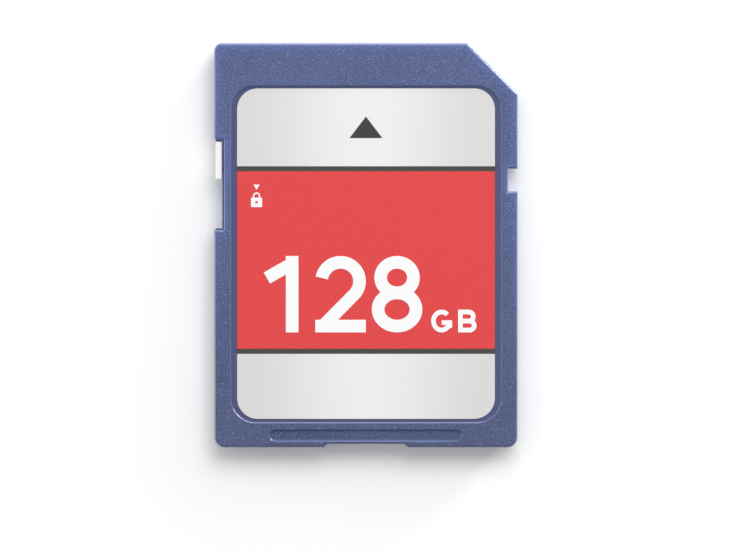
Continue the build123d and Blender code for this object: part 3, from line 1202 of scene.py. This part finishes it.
@dataclass
class Moulding:
    """A moulded piece, remade from its node with soft edges.

    Attributes:
        node: The frame's node.
        name: The piece's name.
        body: The body that it rides on.
        slot: Its material slot.
        flat: Faces that turn by less than this many degrees are one.
        edge_softness: Rounding of its sharp edges, in millimetres.
        segments: Faces across that rounding.
        sharpest: Edges that turn by more than this many degrees are rounded.
        groove: A groove in the front whose rim is rounded more.
        groove_softness: Rounding of that rim, in millimetres.
        groove_segments: Faces across that rounding.
    """

    node: str
    name: str
    body: Body
    slot: Slot
    flat: float = 0.2
    edge_softness: float = 0.025
    segments: int = 2
    sharpest: float = 32.0
    groove: RoundedArea | None = None
    groove_softness: float = 0.06
    groove_segments: int = 3

    def build(self, material: bpy.types.Material) -> bpy.types.Object:
        """Make the piece.

        Args:
            material: The material that it gets.

        Returns:
            The piece, joined to the frame.
        """
        host = new_object(self.name, self.merged_mesh())
        soften(host, self.edge_softness, self.segments, self.sharpest)
        piece = settled(host)
        piece.data.materials.clear()
        piece.data.materials.append(material)
        return handed_over(piece, self.body, self.slot, [self.node])

    def merged_mesh(self) -> bpy.types.Mesh:
        """Copy the node's triangles.

        Returns:
            One closed skin of flat faces, in millimetres.
        """
        mesh = frame["nodes"][self.node].data.copy()
        work = bmesh.new()
        work.from_mesh(mesh)
        bmesh.ops.scale(work, vec=(1 / MM,) * 3, verts=work.verts)
        bmesh.ops.remove_doubles(work, verts=work.verts, dist=WELD)
        if self.groove is not None:
            self.round_groove(work)
        bmesh.ops.dissolve_limit(
            work,
            angle_limit=math.radians(self.flat),
            verts=work.verts,
            edges=work.edges,
        )
        for face in work.faces:
            face.smooth = True
        work.to_mesh(mesh)
        work.free()
        return mesh

    def round_groove(self, work: bmesh.types.BMesh) -> None:
        """Round the rim of the groove.

        Args:
            work: The closed skin, in millimetres.
        """
        top = max(vertex.co.z for vertex in work.verts)
        middle = Vector(self.groove.middle)
        rim = {
            vertex
            for vertex in work.verts
            if vertex.co.z > top - WELD
            and abs(vertex.co.x - middle.x) < self.groove.half_width + WELD
            and abs(vertex.co.y - middle.y) < self.groove.half_length + WELD
        }
        edges = [
            edge
            for edge in work.edges
            if rim.issuperset(edge.verts) and edge.calc_face_angle(0.0) > math.radians(self.sharpest)
        ]
        bmesh.ops.bevel(
            work,
            geom=edges,
            offset=self.groove_softness,
            offset_type="OFFSET",
            segments=self.groove_segments,
            profile=0.5,
            affect="EDGES",
            clamp_overlap=True,
            loop_slide=False,
        )


@dataclass
class Plate:
    """A flat plate with rounded corners that fills the box of its node.

    Attributes:
        node: The frame's node.
        name: The piece's name.
        slot: Its material slot.
        corner_radius: Its corner radius, in millimetres.
        edge: Rounding of its edges, in millimetres.
        segments: Faces across that rounding.
        sharpest: Edges that turn by more than this many degrees are rounded.
    """

    node: str
    name: str
    slot: Slot
    corner_radius: float
    edge: float
    segments: int = 2
    sharpest: float = 60.0

    def build(self, tree: GeometryTree, material: bpy.types.Material) -> bpy.types.Object:
        """Make the plate.

        Args:
            tree: The tree of a rounded plate.
            material: The material that it gets.

        Returns:
            The plate, joined to the frame.
        """
        low, high = (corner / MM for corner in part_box(self.node))
        size = high - low
        middle = (low + high) / 2
        host = new_object(self.name)
        tree.grow(
            host,
            Width=size.x,
            Length=size.y,
            Corner_Radius=self.corner_radius,
            Thickness=size.z,
            Place=(middle.x, middle.y, low.z),
            Material=material,
        )
        soften(host, self.edge, self.segments, self.sharpest)
        return handed_over(settled(host), Body.CARD, self.slot, [self.node])


@dataclass
class Housing:
    """The two welded half shells of the card, with sizes in millimetres.

    Attributes:
        plastic: Finish of both shells.
        slot: Opening in the edge for the slider.
        latch_notch: Opening in the other edge.
        groove: The grip groove in the front.
        recess_sides: Floor of the recess that shows beside the label.
        recess_tip: Floor that shows above the label.
        recess_end: Floor that shows below the label.
        recess_radius: Corner radius of the recess.
        recess_rim: Width of the rounding round the recess.
        tab_depth: Depth of the slider's tab into the card.
        tab_gap: Gap between the tab and the walls of its slot.
        lip_reach: Distance that the lip round the slot stands out from its walls.
        lip_root: Depth of the lip in the walls.
        lip_top: Distance of the lip below the front.
        lip_height: Height of the lip.
    """

    plastic: MouldedPlastic = MouldedPlastic(
        name="moulded_blue",
        tones=(srgb(54, 67, 109), srgb(98, 113, 162)),
        glint=srgb(114, 126, 170),
        smooth=srgb(84, 91, 133),
        roughness=0.52,
        wall_roughness=0.26,
        grain_scale=11.0,
        grain_height=0.014 * MM,
        # Full coat and painted highlight on the rims.
        rim_gloss_and_highlight=1.0,
        # Painted shade towards the far end of the card.
        painted_shade_end_tones=(srgb(50, 61, 97), srgb(92, 104, 146)),
        # Painted glow near the outline.
        painted_glow_tones=(srgb(58, 75, 128), srgb(108, 127, 190)),
    )
    slot: RoundedArea = RoundedArea(
        middle=(-12.25, 4.79, 0.0),
        half_width=1.0,
        half_length=3.55,
        corner_radius=0.1,
    )
    latch_notch: RoundedArea = RoundedArea(
        middle=(12.3, 5.2, 0.0),
        half_width=1.0,
        half_length=0.95,
        corner_radius=0.1,
    )
    groove: RoundedArea = RoundedArea(
        middle=(0.0, -15.03, 0.0),
        half_width=7.65,
        half_length=0.48,
        corner_radius=0.48,
    )
    recess_sides: float = 0.45
    recess_tip: float = 0.15
    recess_end: float = 0.23
    recess_radius: float = 1.9
    recess_rim: float = 0.12
    tab_depth: float = 0.5
    tab_gap: float = 0.15
    lip_reach: float = 0.12
    lip_root: float = 0.1
    lip_top: float = 0.25
    lip_height: float = 0.2

    def build(self) -> list[bpy.types.Object]:
        """Make both shells and the lip of the slot.

        Returns:
            The three pieces, joined to the frame.
        """
        finish = replace(
            self.plastic,
            outline=CARD_OUTLINE,
            openings=(self.slot, self.latch_notch),
            polished=self.recess(),
        )
        material = finish.material()
        shells = [
            Moulding(node, f"{node}_shell", Body.CARD, Slot.BLUE_PLASTIC, groove=groove)
            for node, groove in (("front_cover", self.groove), ("back_cover", None))
        ]
        plain = replace(self.plastic, name="moulded_blue_lip").material()
        return [*(shell.build(material) for shell in shells), self.slot_lip(plain)]

    def slot_lip(self, material: bpy.types.Material) -> bpy.types.Object:
        """Make the thin lip that closes the gap round the slider's tab.

        Args:
            material: The shells' plastic.

        Returns:
            The lip, joined to the frame.
        """
        low, high = (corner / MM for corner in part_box("write_protect_slider"))
        _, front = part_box("front_cover")
        travel = frame["joints"][0]["range_m"][1] / MM
        wall = low.x + self.tab_depth + self.tab_gap
        face = wall - self.lip_reach
        root = wall + self.lip_root
        near = low.y - travel - self.tab_gap
        far = high.y + self.tab_gap
        outline = (
            (root, near - self.lip_root),
            (root, far + self.lip_root),
            (low.x, far + self.lip_root),
            (low.x, far - self.lip_reach),
            (face, far - self.lip_reach),
            (face, near + self.lip_reach),
            (low.x, near + self.lip_reach),
            (low.x, near - self.lip_root),
        )
        host = pen_curve("slot_lip", [Stroke(outline, closed=True)])
        flat_shape_tree().grow(
            host,
            Thickness=self.lip_height,
            Place=(0.0, 0.0, front.z / MM - self.lip_top - self.lip_height),
            Material=material,
        )
        return handed_over(settled(host), Body.CARD, Slot.BLUE_PLASTIC)

    def recess(self) -> RoundedArea:
        """Find the recess round the label.

        Returns:
            The recess, out to the foot of its rounded rim.
        """
        low, high = (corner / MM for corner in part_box("front_label"))
        sides = self.recess_sides + self.recess_rim
        low -= Vector((sides, self.recess_end + self.recess_rim, 0.0))
        high += Vector((sides, self.recess_tip + self.recess_rim, 0.0))
        high.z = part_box("front_cover")[1].z / MM
        return RoundedArea.over(low, high, self.recess_radius + self.recess_rim)


@dataclass
class WriteProtectSlider:
    """The white sliding tab in the card's edge.

    Attributes:
        plastic: Its finish.
    """

    plastic: MouldedPlastic = MouldedPlastic(
        name="moulded_white",
        tones=(srgb(250, 250, 249), srgb(253, 253, 252)),
        glint=srgb(254, 254, 253),
        smooth=srgb(252, 252, 251),
        roughness=0.4,
        wall_roughness=0.34,
        grain_scale=4.0,
        grain_height=0.006 * MM,
    )

    def build(self) -> bpy.types.Object:
        """Make the tab."""
        node = "write_protect_slider"
        tab = Moulding(node, "write_protect_tab", Body.SLIDER, Slot.WHITE_PLASTIC)
        return tab.build(self.plastic.material())


def arc(centre: Point, radii: Point, start: float, end: float, steps: int = 28) -> list[Point]:
    """Points along part of an ellipse.

    Args:
        centre: Its middle.
        radii: Its half width and half height.
        start: First angle, in degrees from the right, anticlockwise.
        end: Last angle.
        steps: Number of chords.

    Returns:
        The points, both ends included.
    """
    angles = [math.radians(start + (end - start) * step / steps) for step in range(steps + 1)]
    return [(centre[0] + radii[0] * math.cos(a), centre[1] + radii[1] * math.sin(a)) for a in angles]


@dataclass(frozen=True)
class Stroke:
    """One pass of the pen, in millimetres.

    Attributes:
        points: The points that the pen goes through.
        closed: Whether the last point joins the first.
    """

    points: Sequence[Point]
    closed: bool = False

    def moved(self, right: float) -> Stroke:
        """The same stroke further to the right."""
        return Stroke([(x + right, y) for x, y in self.points], self.closed)


def ring(centre: Point, radii: Point, steps: int, gap: float) -> Stroke:
    """Closed stroke round an ellipse.

    Args:
        centre: Its middle.
        radii: Its half width and half height.
        steps: Number of chords up to the last one.
        gap: Angle of the last chord, in degrees.

    Returns:
        The stroke.
    """
    return Stroke(arc(centre, radii, start=0.0, end=360.0 - gap, steps=steps), closed=True)


def set_in_row(glyphs: Sequence[Sequence[Stroke]], pitch: float) -> list[Stroke]:
    """Set glyphs side by side, a pitch apart."""
    return [stroke.moved(pitch * place) for place, glyph in enumerate(glyphs) for stroke in glyph]


@dataclass(frozen=True)
class Numerals:
    """Plain upright numerals and letters, drawn with a broad pen.

    Attributes:
        height: Height over the ink, in millimetres.
        width: Width over the ink of a round numeral.
        pen: Width of the pen.
        pitch: Distance from one to the next.
    """

    height: float
    width: float
    pen: float
    pitch: float

    def one(self) -> list[Stroke]:
        """Draw the numeral 1.

        Returns:
            Its strokes.
        """
        stem = self.width * 0.66
        flag_root = (stem, self.height - self.pen * 0.6)
        flag_end = (self.width * 0.16, self.height - self.pen * 1.75)
        return [Stroke(((stem, 0.0), (stem, self.height))), Stroke((flag_root, flag_end))]

    def two(self) -> list[Stroke]:
        """Draw the numeral 2.

        Returns:
            Its strokes.
        """
        half = self.pen / 2
        reach = self.width / 2 - half
        middle = (self.width / 2, self.height - half - reach)
        bowl = arc(middle, (reach, reach), start=170.0, end=-44.0)
        foot = (self.pen * 0.6, half)
        return [Stroke((*bowl, foot)), Stroke(((0.0, half), (self.width, half)))]

    def eight(self) -> list[Stroke]:
        """Draw the numeral 8.

        Returns:
            Its strokes.
        """
        half = self.pen / 2
        middle = self.width / 2
        upper = self.height * 0.2
        lower = (self.height - self.pen) / 2 - upper
        upper_reach = middle - half * 1.4
        loops = (
            ((middle, self.height - half - upper), (upper_reach, upper)),
            ((middle, half + lower), (middle - half, lower)),
        )
        return [ring(centre, radii, steps=40, gap=9.0) for centre, radii in loops]

    def letter_g(self) -> list[Stroke]:
        """Draw a capital G.

        Returns:
            Its strokes.
        """
        half = self.pen / 2
        middle = (self.width / 2, self.height / 2)
        reach = (self.width / 2 - half, self.height / 2 - half)
        bowl = arc(middle, reach, start=46.0, end=325.0, steps=36)
        bar = self.height * 0.43
        spur_end = self.height * 0.2
        right = self.width - half
        return [
            Stroke(bowl),
            Stroke(((self.width / 2, bar), (self.width, bar))),
            Stroke(((right, bar + half), (right, spur_end))),
        ]

    def letter_b(self) -> list[Stroke]:
        """Draw a capital B.

        Returns:
            Its strokes.
        """
        half = self.pen / 2
        rise = (self.height - self.pen) / 2
        radius = rise / 2
        right = self.width * 0.88 - half
        upper_right = right - half * 0.4
        strokes = [Stroke(((half, 0.0), (half, self.height)))]
        for low, reach in ((half, right), (half + rise, upper_right)):
            middle = (reach - radius, low + radius)
            bowl = arc(middle, (radius, radius), start=-90.0, end=90.0, steps=20)
            strokes.append(Stroke(((half, low), *bowl, (half, low + rise))))
        return strokes


@dataclass(frozen=True)
class LockMark:
    """A small closed padlock under an arrow head, in millimetres from its lower left corner.

    Attributes:
        width: Width of the padlock's body.
        height: Height of its body.
        corner: Corner radius of its body.
        keyhole: Radius of its keyhole.
        keyhole_rise: Height of the keyhole's middle.
        bow_width: Width over its bow.
        bow_rise: Height of the bow above the body.
        bow_pen: Thickness of the bow.
        arrow_width: Width of the arrow head.
        arrow_low: Height of its tip.
        arrow_high: Height of its flat top.
    """

    width: float = 0.89
    height: float = 0.75
    corner: float = 0.08
    keyhole: float = 0.11
    keyhole_rise: float = 0.39
    bow_width: float = 0.59
    bow_rise: float = 0.42
    bow_pen: float = 0.115
    arrow_width: float = 0.5
    arrow_low: float = 1.38
    arrow_high: float = 1.78

    def outlines(self) -> list[Stroke]:
        """Draw the body, its keyhole and the arrow head.

        Returns:
            Their outlines.
        """
        near = self.corner
        right, top = self.width - near, self.height - near
        corners = ((right, top, 0.0), (near, top, 90.0), (near, near, 180.0), (right, near, 270.0))
        body = [
            point
            for x, y, angle in corners
            for point in arc((x, y), (near, near), angle, angle + 90.0, steps=6)
        ]
        middle = self.width / 2
        hole = ring((middle, self.keyhole_rise), (self.keyhole, self.keyhole), steps=23, gap=15.0)
        half = self.arrow_width / 2
        arrow = (
            (middle - half, self.arrow_high),
            (middle, self.arrow_low),
            (middle + half, self.arrow_high),
        )
        return [Stroke(body, closed=True), hole, Stroke(arrow, closed=True)]

    def bow(self) -> list[Stroke]:
        """Draw the bow.

        Returns:
            Its one stroke.
        """
        reach = (self.bow_width - self.bow_pen) / 2
        middle = self.width / 2
        shoulder = self.height + self.bow_rise - self.bow_pen / 2 - reach
        top = arc((middle, shoulder), (reach, reach), start=180.0, end=0.0, steps=20)
        return [Stroke(((middle - reach, self.height), *top, (middle + reach, self.height)))]


def pen_curve(name: str, strokes: Sequence[Stroke]) -> bpy.types.Object:
    """Make a curve object with one straight-sided spline for each stroke.

    Args:
        name: The object's name.
        strokes: The strokes, in millimetres.

    Returns:
        The curve, with a millimetre as its unit.
    """
    curve = bpy.data.curves.new(name, "CURVE")
    curve.dimensions = "3D"
    for stroke in strokes:
        spline = curve.splines.new("POLY")
        spline.points.add(len(stroke.points) - 1)
        for point, (x, y) in zip(spline.points, stroke.points):
            point.co = (x, y, 0.0, 1.0)
        spline.use_cyclic_u = stroke.closed
    return new_object(name, curve)


@dataclass
class Label:
    """The printed film in the front recess, with its ink, with sizes in millimetres.

    Attributes:
        corner_radius: Corner radius of the film.
        film_edge: Rounding of the film's cut edge.
        centre: Silver along the middle of the film.
        side: Silver along its long edges.
        line_above: Lower and upper edge of the dark line above the red field.
        line_below: The same of the line below it.
        dark: Colour of the lines.
        red: Colour of the field between them.
        white_ink: Ink of the numerals and of the padlock.
        dark_ink: Ink of the insertion mark.
        ink_height: Thickness of the ink.
        ink_sink: Depth of the ink in the film.
        number: Shape of the large numerals.
        number_corner: Lower left corner of the number on the card.
        unit: Shape of the small letters.
        unit_corner: Lower left corner of the unit.
        lock: The padlock beside the slider.
        lock_corner: Lower left corner of the padlock.
        insert_mark: Triangle that points to the contact end.
    """

    corner_radius: float = 1.65
    film_edge: float = 0.03
    centre: Colour = srgb(242, 241, 240)
    side: Colour = srgb(223, 221, 220)
    line_above: Point = (5.87, 6.27)
    line_below: Point = (-8.58, -8.17)
    dark: Colour = srgb(67, 65, 64)
    red: Colour = srgb(229, 65, 66)
    white_ink: Ink = Ink("white_ink", srgb(255, 255, 255), srgb(251, 251, 251))
    dark_ink: Ink = Ink("dark_ink", srgb(66, 64, 63), srgb(76, 74, 73))
    ink_height: float = 0.012
    ink_sink: float = 0.004
    number: Numerals = Numerals(height=6.05, width=4.0, pen=1.0, pitch=4.47)
    number_corner: Point = (-8.48, -6.88)
    unit: Numerals = Numerals(height=1.8, width=1.66, pen=0.37, pitch=2.13)
    unit_corner: Point = (5.16, -6.88)
    lock: LockMark = LockMark()
    lock_corner: Point = (-9.1, 3.03)
    insert_mark: Stroke = Stroke(((-1.3, 8.5), (1.3, 8.5), (0.0, 10.2)), closed=True)

    def build(self) -> list[bpy.types.Object]:
        """Make the film and its ink.

        Returns:
            The pieces, joined to the frame.
        """
        white = self.white_ink.material()
        dark = self.dark_ink.material()
        number = (self.number.one(), self.number.two(), self.number.eight())
        number_strokes = set_in_row(number, self.number.pitch)
        unit_strokes = set_in_row((self.unit.letter_g(), self.unit.letter_b()), self.unit.pitch)
        return [
            self.film(),
            self.printed("capacity_number", number_strokes, self.number_corner, white, self.number.pen),
            self.printed("capacity_unit", unit_strokes, self.unit_corner, white, self.unit.pen),
            self.printed("lock_bow", self.lock.bow(), self.lock_corner, white, self.lock.bow_pen),
            self.printed("lock_body", self.lock.outlines(), self.lock_corner, white),
            self.printed("insert_mark", [self.insert_mark], (0.0, 0.0), dark),
        ]

    def film(self) -> bpy.types.Object:
        """Make the film with its fields of colour.

        Returns:
            The film, joined to the frame.
        """
        node = "front_label"
        low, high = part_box(node)
        lowest, low_edge = self.line_below
        high_edge, highest = self.line_above
        finish = PrintedFilm(
            name="printed_film",
            centre=self.centre,
            side=self.side,
            fleck=WHITE,
            half_width=(high.x - low.x) / 2 / MM,
            fields=(
                PrintField(lowest, highest, self.dark),
                PrintField(low_edge, high_edge, self.red),
            ),
        )
        film = Plate(
            node,
            "label_film",
            Slot.PRINTED_FILM,
            self.corner_radius,
            self.film_edge,
            segments=3,
        )
        return film.build(rounded_plate_tree(), finish.material())

    def printed(
        self,
        name: str,
        strokes: Sequence[Stroke],
        corner: Point,
        ink: bpy.types.Material,
        pen: float | None = None,
    ) -> bpy.types.Object:
        """Print on the film.

        Args:
            name: The piece's name.
            strokes: Strokes of the pen, or outlines to fill, from the corner.
            corner: Lower left corner on the card.
            ink: The ink.
            pen: Width of the pen, or None for outlines to fill.

        Returns:
            The printed piece, joined to the frame.
        """
        host = pen_curve(name, strokes)
        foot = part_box("front_label")[1].z / MM - self.ink_sink
        if pen is None:
            flat_shape_tree().grow(
                host,
                Thickness=self.ink_height,
                Place=(*corner, foot),
                Material=ink,
            )
        else:
            pen_stroke_tree().grow(
                host,
                Pen_Width=pen,
                Ink_Height=self.ink_height,
                Place=(*corner, foot + self.ink_height / 2),
                Material=ink,
            )
        return handed_over(settled(host), Body.CARD, Slot.PRINTED_FILM)


@dataclass
class ContactRow:
    """The nine plated contacts at the back of the card.

    Attributes:
        count: Number of contacts.
        corner_radius: Corner radius of a contact, in millimetres.
        edge: Rounding of its edges, in millimetres.
        gold: Its plating.
    """

    count: int = 9
    corner_radius: float = 0.18
    edge: float = 0.008
    gold: PlatedMetal = PlatedMetal(
        name="gold_plating",
        light=srgb(244, 205, 124),
        deep=srgb(236, 192, 108),
        roughness=0.24,
        peel_scale=5.0,
    )

    def build(self) -> list[bpy.types.Object]:
        """Make the contacts.

        Returns:
            The contacts, joined to the frame.
        """
        material = self.gold.material()
        tree = rounded_plate_tree()
        names = [(f"contact_{number}", f"contact_pad_{number}") for number in range(1, self.count + 1)]
        return [
            Plate(node, name, Slot.GOLD_PLATE, self.corner_radius, self.edge).build(tree, material)
            for node, name in names
        ]


@dataclass
class BoardAssembly:
    """The circuit board and what is soldered to it, inside the card.

    Attributes:
        resin: Finish of both chips.
        tin: Finish of the leads and of the blocks' ends.
        bare: Colour of the board over bare laminate.
        copper: Colour of the board over copper.
        cut: Colour of its cut edge.
        capacitor: Colour of the capacitors' ceramic.
        resistor: Colour of the resistors' ceramic.
        shade: Colour of the darker places on both.
        block_count: Number of capacitors, and of resistors.
        end_length: Length of a block's tinned end, in millimetres.
    """

    resin: MouldedResin = MouldedResin("chip_resin", srgb(34, 34, 36), srgb(78, 78, 80))
    tin: PlatedMetal = PlatedMetal(
        name="tin_plating",
        light=srgb(206, 206, 202),
        deep=srgb(168, 168, 164),
        roughness=0.36,
        peel_scale=7.0,
    )
    bare: Colour = srgb(22, 70, 44)
    copper: Colour = srgb(38, 104, 62)
    cut: Colour = srgb(150, 140, 96)
    capacitor: Colour = srgb(176, 140, 98)
    resistor: Colour = srgb(40, 42, 48)
    shade: Colour = srgb(20, 18, 16)
    block_count: int = 4
    end_length: float = 0.22

    def build(self) -> None:
        """Dress the board and its chips."""
        resin = self.resin.material()
        tin = self.tin.material()
        low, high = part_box("circuit_board")
        faces = (low.z / MM, high.z / MM)
        mask = SolderMask("solder_mask", self.bare, self.copper, self.cut, faces)
        self.dress("circuit_board", mask.material())
        for chip in ("flash_chip", "controller_chip"):
            self.dress(chip, resin)
        for legs in ("flash_chip_leads", "controller_terminals"):
            self.dress(legs, tin)
        for number in range(1, self.block_count + 1):
            self.dress_block(f"capacitor_{number}", self.capacitor)
            self.dress_block(f"resistor_{number}", self.resistor)

    def dress(self, node: str, material: bpy.types.Material) -> None:
        """Give a node its material.

        Args:
            node: The frame's node.
            material: The finish.
        """
        for slot in frame["nodes"][node].material_slots:
            slot.material = material
        log.info("%s dressed in %s", node, material.name)

    def dress_block(self, node: str, body: Colour) -> None:
        """Give a ceramic block its body colour and tinned ends.

        Args:
            node: The frame's node.
            body: Colour of the ceramic.
        """
        low, high = (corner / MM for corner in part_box(node))
        finish = ChipCeramic(
            name=f"{node}_ceramic",
            body=body,
            shade=self.shade,
            tin=self.tin.light,
            centre=(low + high) / 2,
            half_body=(high.x - low.x) / 2 - self.end_length,
        )
        self.dress(node, finish.material())


@dataclass(frozen=True)
class Lamp:
    """A soft rectangular lamp aimed at the card.

    Attributes:
        name: The lamp's name.
        place: Where it stands, in metres.
        size: Its width and height, in metres.
        power: Its power, in watts.
    """

    name: str
    place: tuple[float, float, float]
    size: Point
    power: float

    def build(self) -> None:
        """Hang the lamp."""
        data = bpy.data.lights.new(self.name, "AREA")
        data.shape = "RECTANGLE"
        data.size, data.size_y = self.size
        data.energy = self.power
        lamp = new_object(self.name, data)
        lamp.location = self.place
        lamp.rotation_euler = (-Vector(self.place)).to_track_quat("-Z", "Y").to_euler()


@dataclass
class Studio:
    """Floor, lamps and camera.

    Attributes:
        floor_radius: Radius of the floor, in metres.
        floor_sides: Number of its sides.
        floor_drop: Distance of the floor below the card's back, in metres.
        lens: Focal length of the camera, in millimetres.
        sensor: Width of its sensor, in millimetres.
        clip_factor: How many times nearer and further than the card the camera sees.
        tilt: Angle of the camera from straight above, towards the contact end, in degrees.
        pixels_per_millimetre: Scale of the picture at the card's front.
        card_pixel: Pixel that the middle of the card falls on.
        lamps: The lamps.
        sky: Level of the soft light from all round.
        sky_lean: Share by which it is brighter from the right and from the tip of the card.
        paper: Finish of the floor.
    """

    floor_radius: float = 1.2
    floor_sides: int = 96
    floor_drop: float = 0.01 * MM
    lens: float = 400.0
    sensor: float = 36.0
    clip_factor: float = 100.0
    tilt: float = 1.0
    pixels_per_millimetre: float = 12.64
    card_pixel: Point = (365.95, 245.48)
    lamps: tuple[Lamp, ...] = (
        Lamp("key_lamp", place=(0.1, 0.3, 0.4), size=(0.4, 0.3), power=1.36),
        Lamp("tip_strip", place=(0.0, 0.5, 0.05), size=(0.8, 0.05), power=0.3),
        Lamp("corner_strip", place=(0.36, 0.36, 0.05), size=(0.16, 0.05), power=2.6),
        Lamp("left_strip", place=(-0.5, 0.05, 0.05), size=(0.6, 0.05), power=0.7),
    )
    sky: float = 0.5
    sky_lean: Point = (-0.3, 0.6)
    paper: PaleFloor = PaleFloor(
        name="paper",
        colour=WHITE,
        shade=srgb(253, 253, 253),
        lift=srgb(112, 112, 112),
        # Painted shadow round the card.
        painted_shadow_lift=srgb(86, 86, 86),
        card=CARD_OUTLINE,
        spread=11.0,
    )

    def build(self) -> None:
        """Set up the floor, lamps, sky and camera."""
        self.floor()
        for lamp in self.lamps:
            lamp.build()
        self.world()
        self.camera()
        bpy.context.scene.view_settings.view_transform = "Standard"

    def floor(self) -> None:
        """Lay the paper."""
        work = bmesh.new()
        bmesh.ops.create_circle(work, cap_ends=True, segments=self.floor_sides, radius=self.floor_radius)
        bmesh.ops.translate(work, verts=work.verts, vec=(0.0, 0.0, -self.floor_drop))
        mesh = bpy.data.meshes.new("paper_floor")
        work.to_mesh(mesh)
        work.free()
        mesh.materials.append(self.paper.material())
        new_object("paper_floor", mesh)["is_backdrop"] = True

    def world(self) -> None:
        """Set the soft light from all round."""
        world = bpy.data.worlds.new("studio")
        world.use_nodes = True
        tree = NodeTree(world.node_tree)
        direction = tree.node("ShaderNodeTexCoord").outputs["Generated"]
        lean = tree.node(
            "ShaderNodeVectorMath",
            {"operation": "DOT_PRODUCT"},
            {"Vector": direction, "Vector_001": (*self.sky_lean, 0.0)},
        )
        level = tree.node(
            "ShaderNodeMath",
            {"operation": "MULTIPLY_ADD"},
            {"Value": lean.outputs["Value"], "Value_001": self.sky, "Value_002": self.sky},
        )
        background = world.node_tree.nodes["Background"]
        tree.feed(background.inputs["Color"], WHITE)
        tree.feed(background.inputs["Strength"], level.outputs["Value"])
        bpy.context.scene.world = world

    def camera(self) -> None:
        """Hang the camera over the card, looking down a little from the contact end."""
        _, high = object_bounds()
        view_width = IMAGE_WIDTH / self.pixels_per_millimetre * MM
        distance = view_width * self.lens / self.sensor
        right = (IMAGE_WIDTH / 2 - self.card_pixel[0]) / self.pixels_per_millimetre * MM
        up = (self.card_pixel[1] - IMAGE_HEIGHT / 2) / self.pixels_per_millimetre * MM
        turn = Matrix.Rotation(-math.radians(self.tilt), 4, "X")
        data = bpy.data.cameras.new("camera")
        data.lens = self.lens
        data.sensor_width = self.sensor
        data.clip_start = distance / self.clip_factor
        data.clip_end = distance * self.clip_factor
        camera = new_object("camera", data)
        aim = Matrix.Translation((right, up, high.z))
        camera.matrix_world = aim @ turn @ Matrix.Translation((0.0, 0.0, distance))
        bpy.context.scene.camera = camera


def main() -> None:
    """Dress the card and set up its picture."""
    logging.basicConfig(level=logging.INFO, format="%(name)s: %(message)s")
    for assembly in (Housing(), WriteProtectSlider(), Label(), ContactRow(), BoardAssembly(), Studio()):
        assembly.build()


if __name__ == "__main__":
    main()
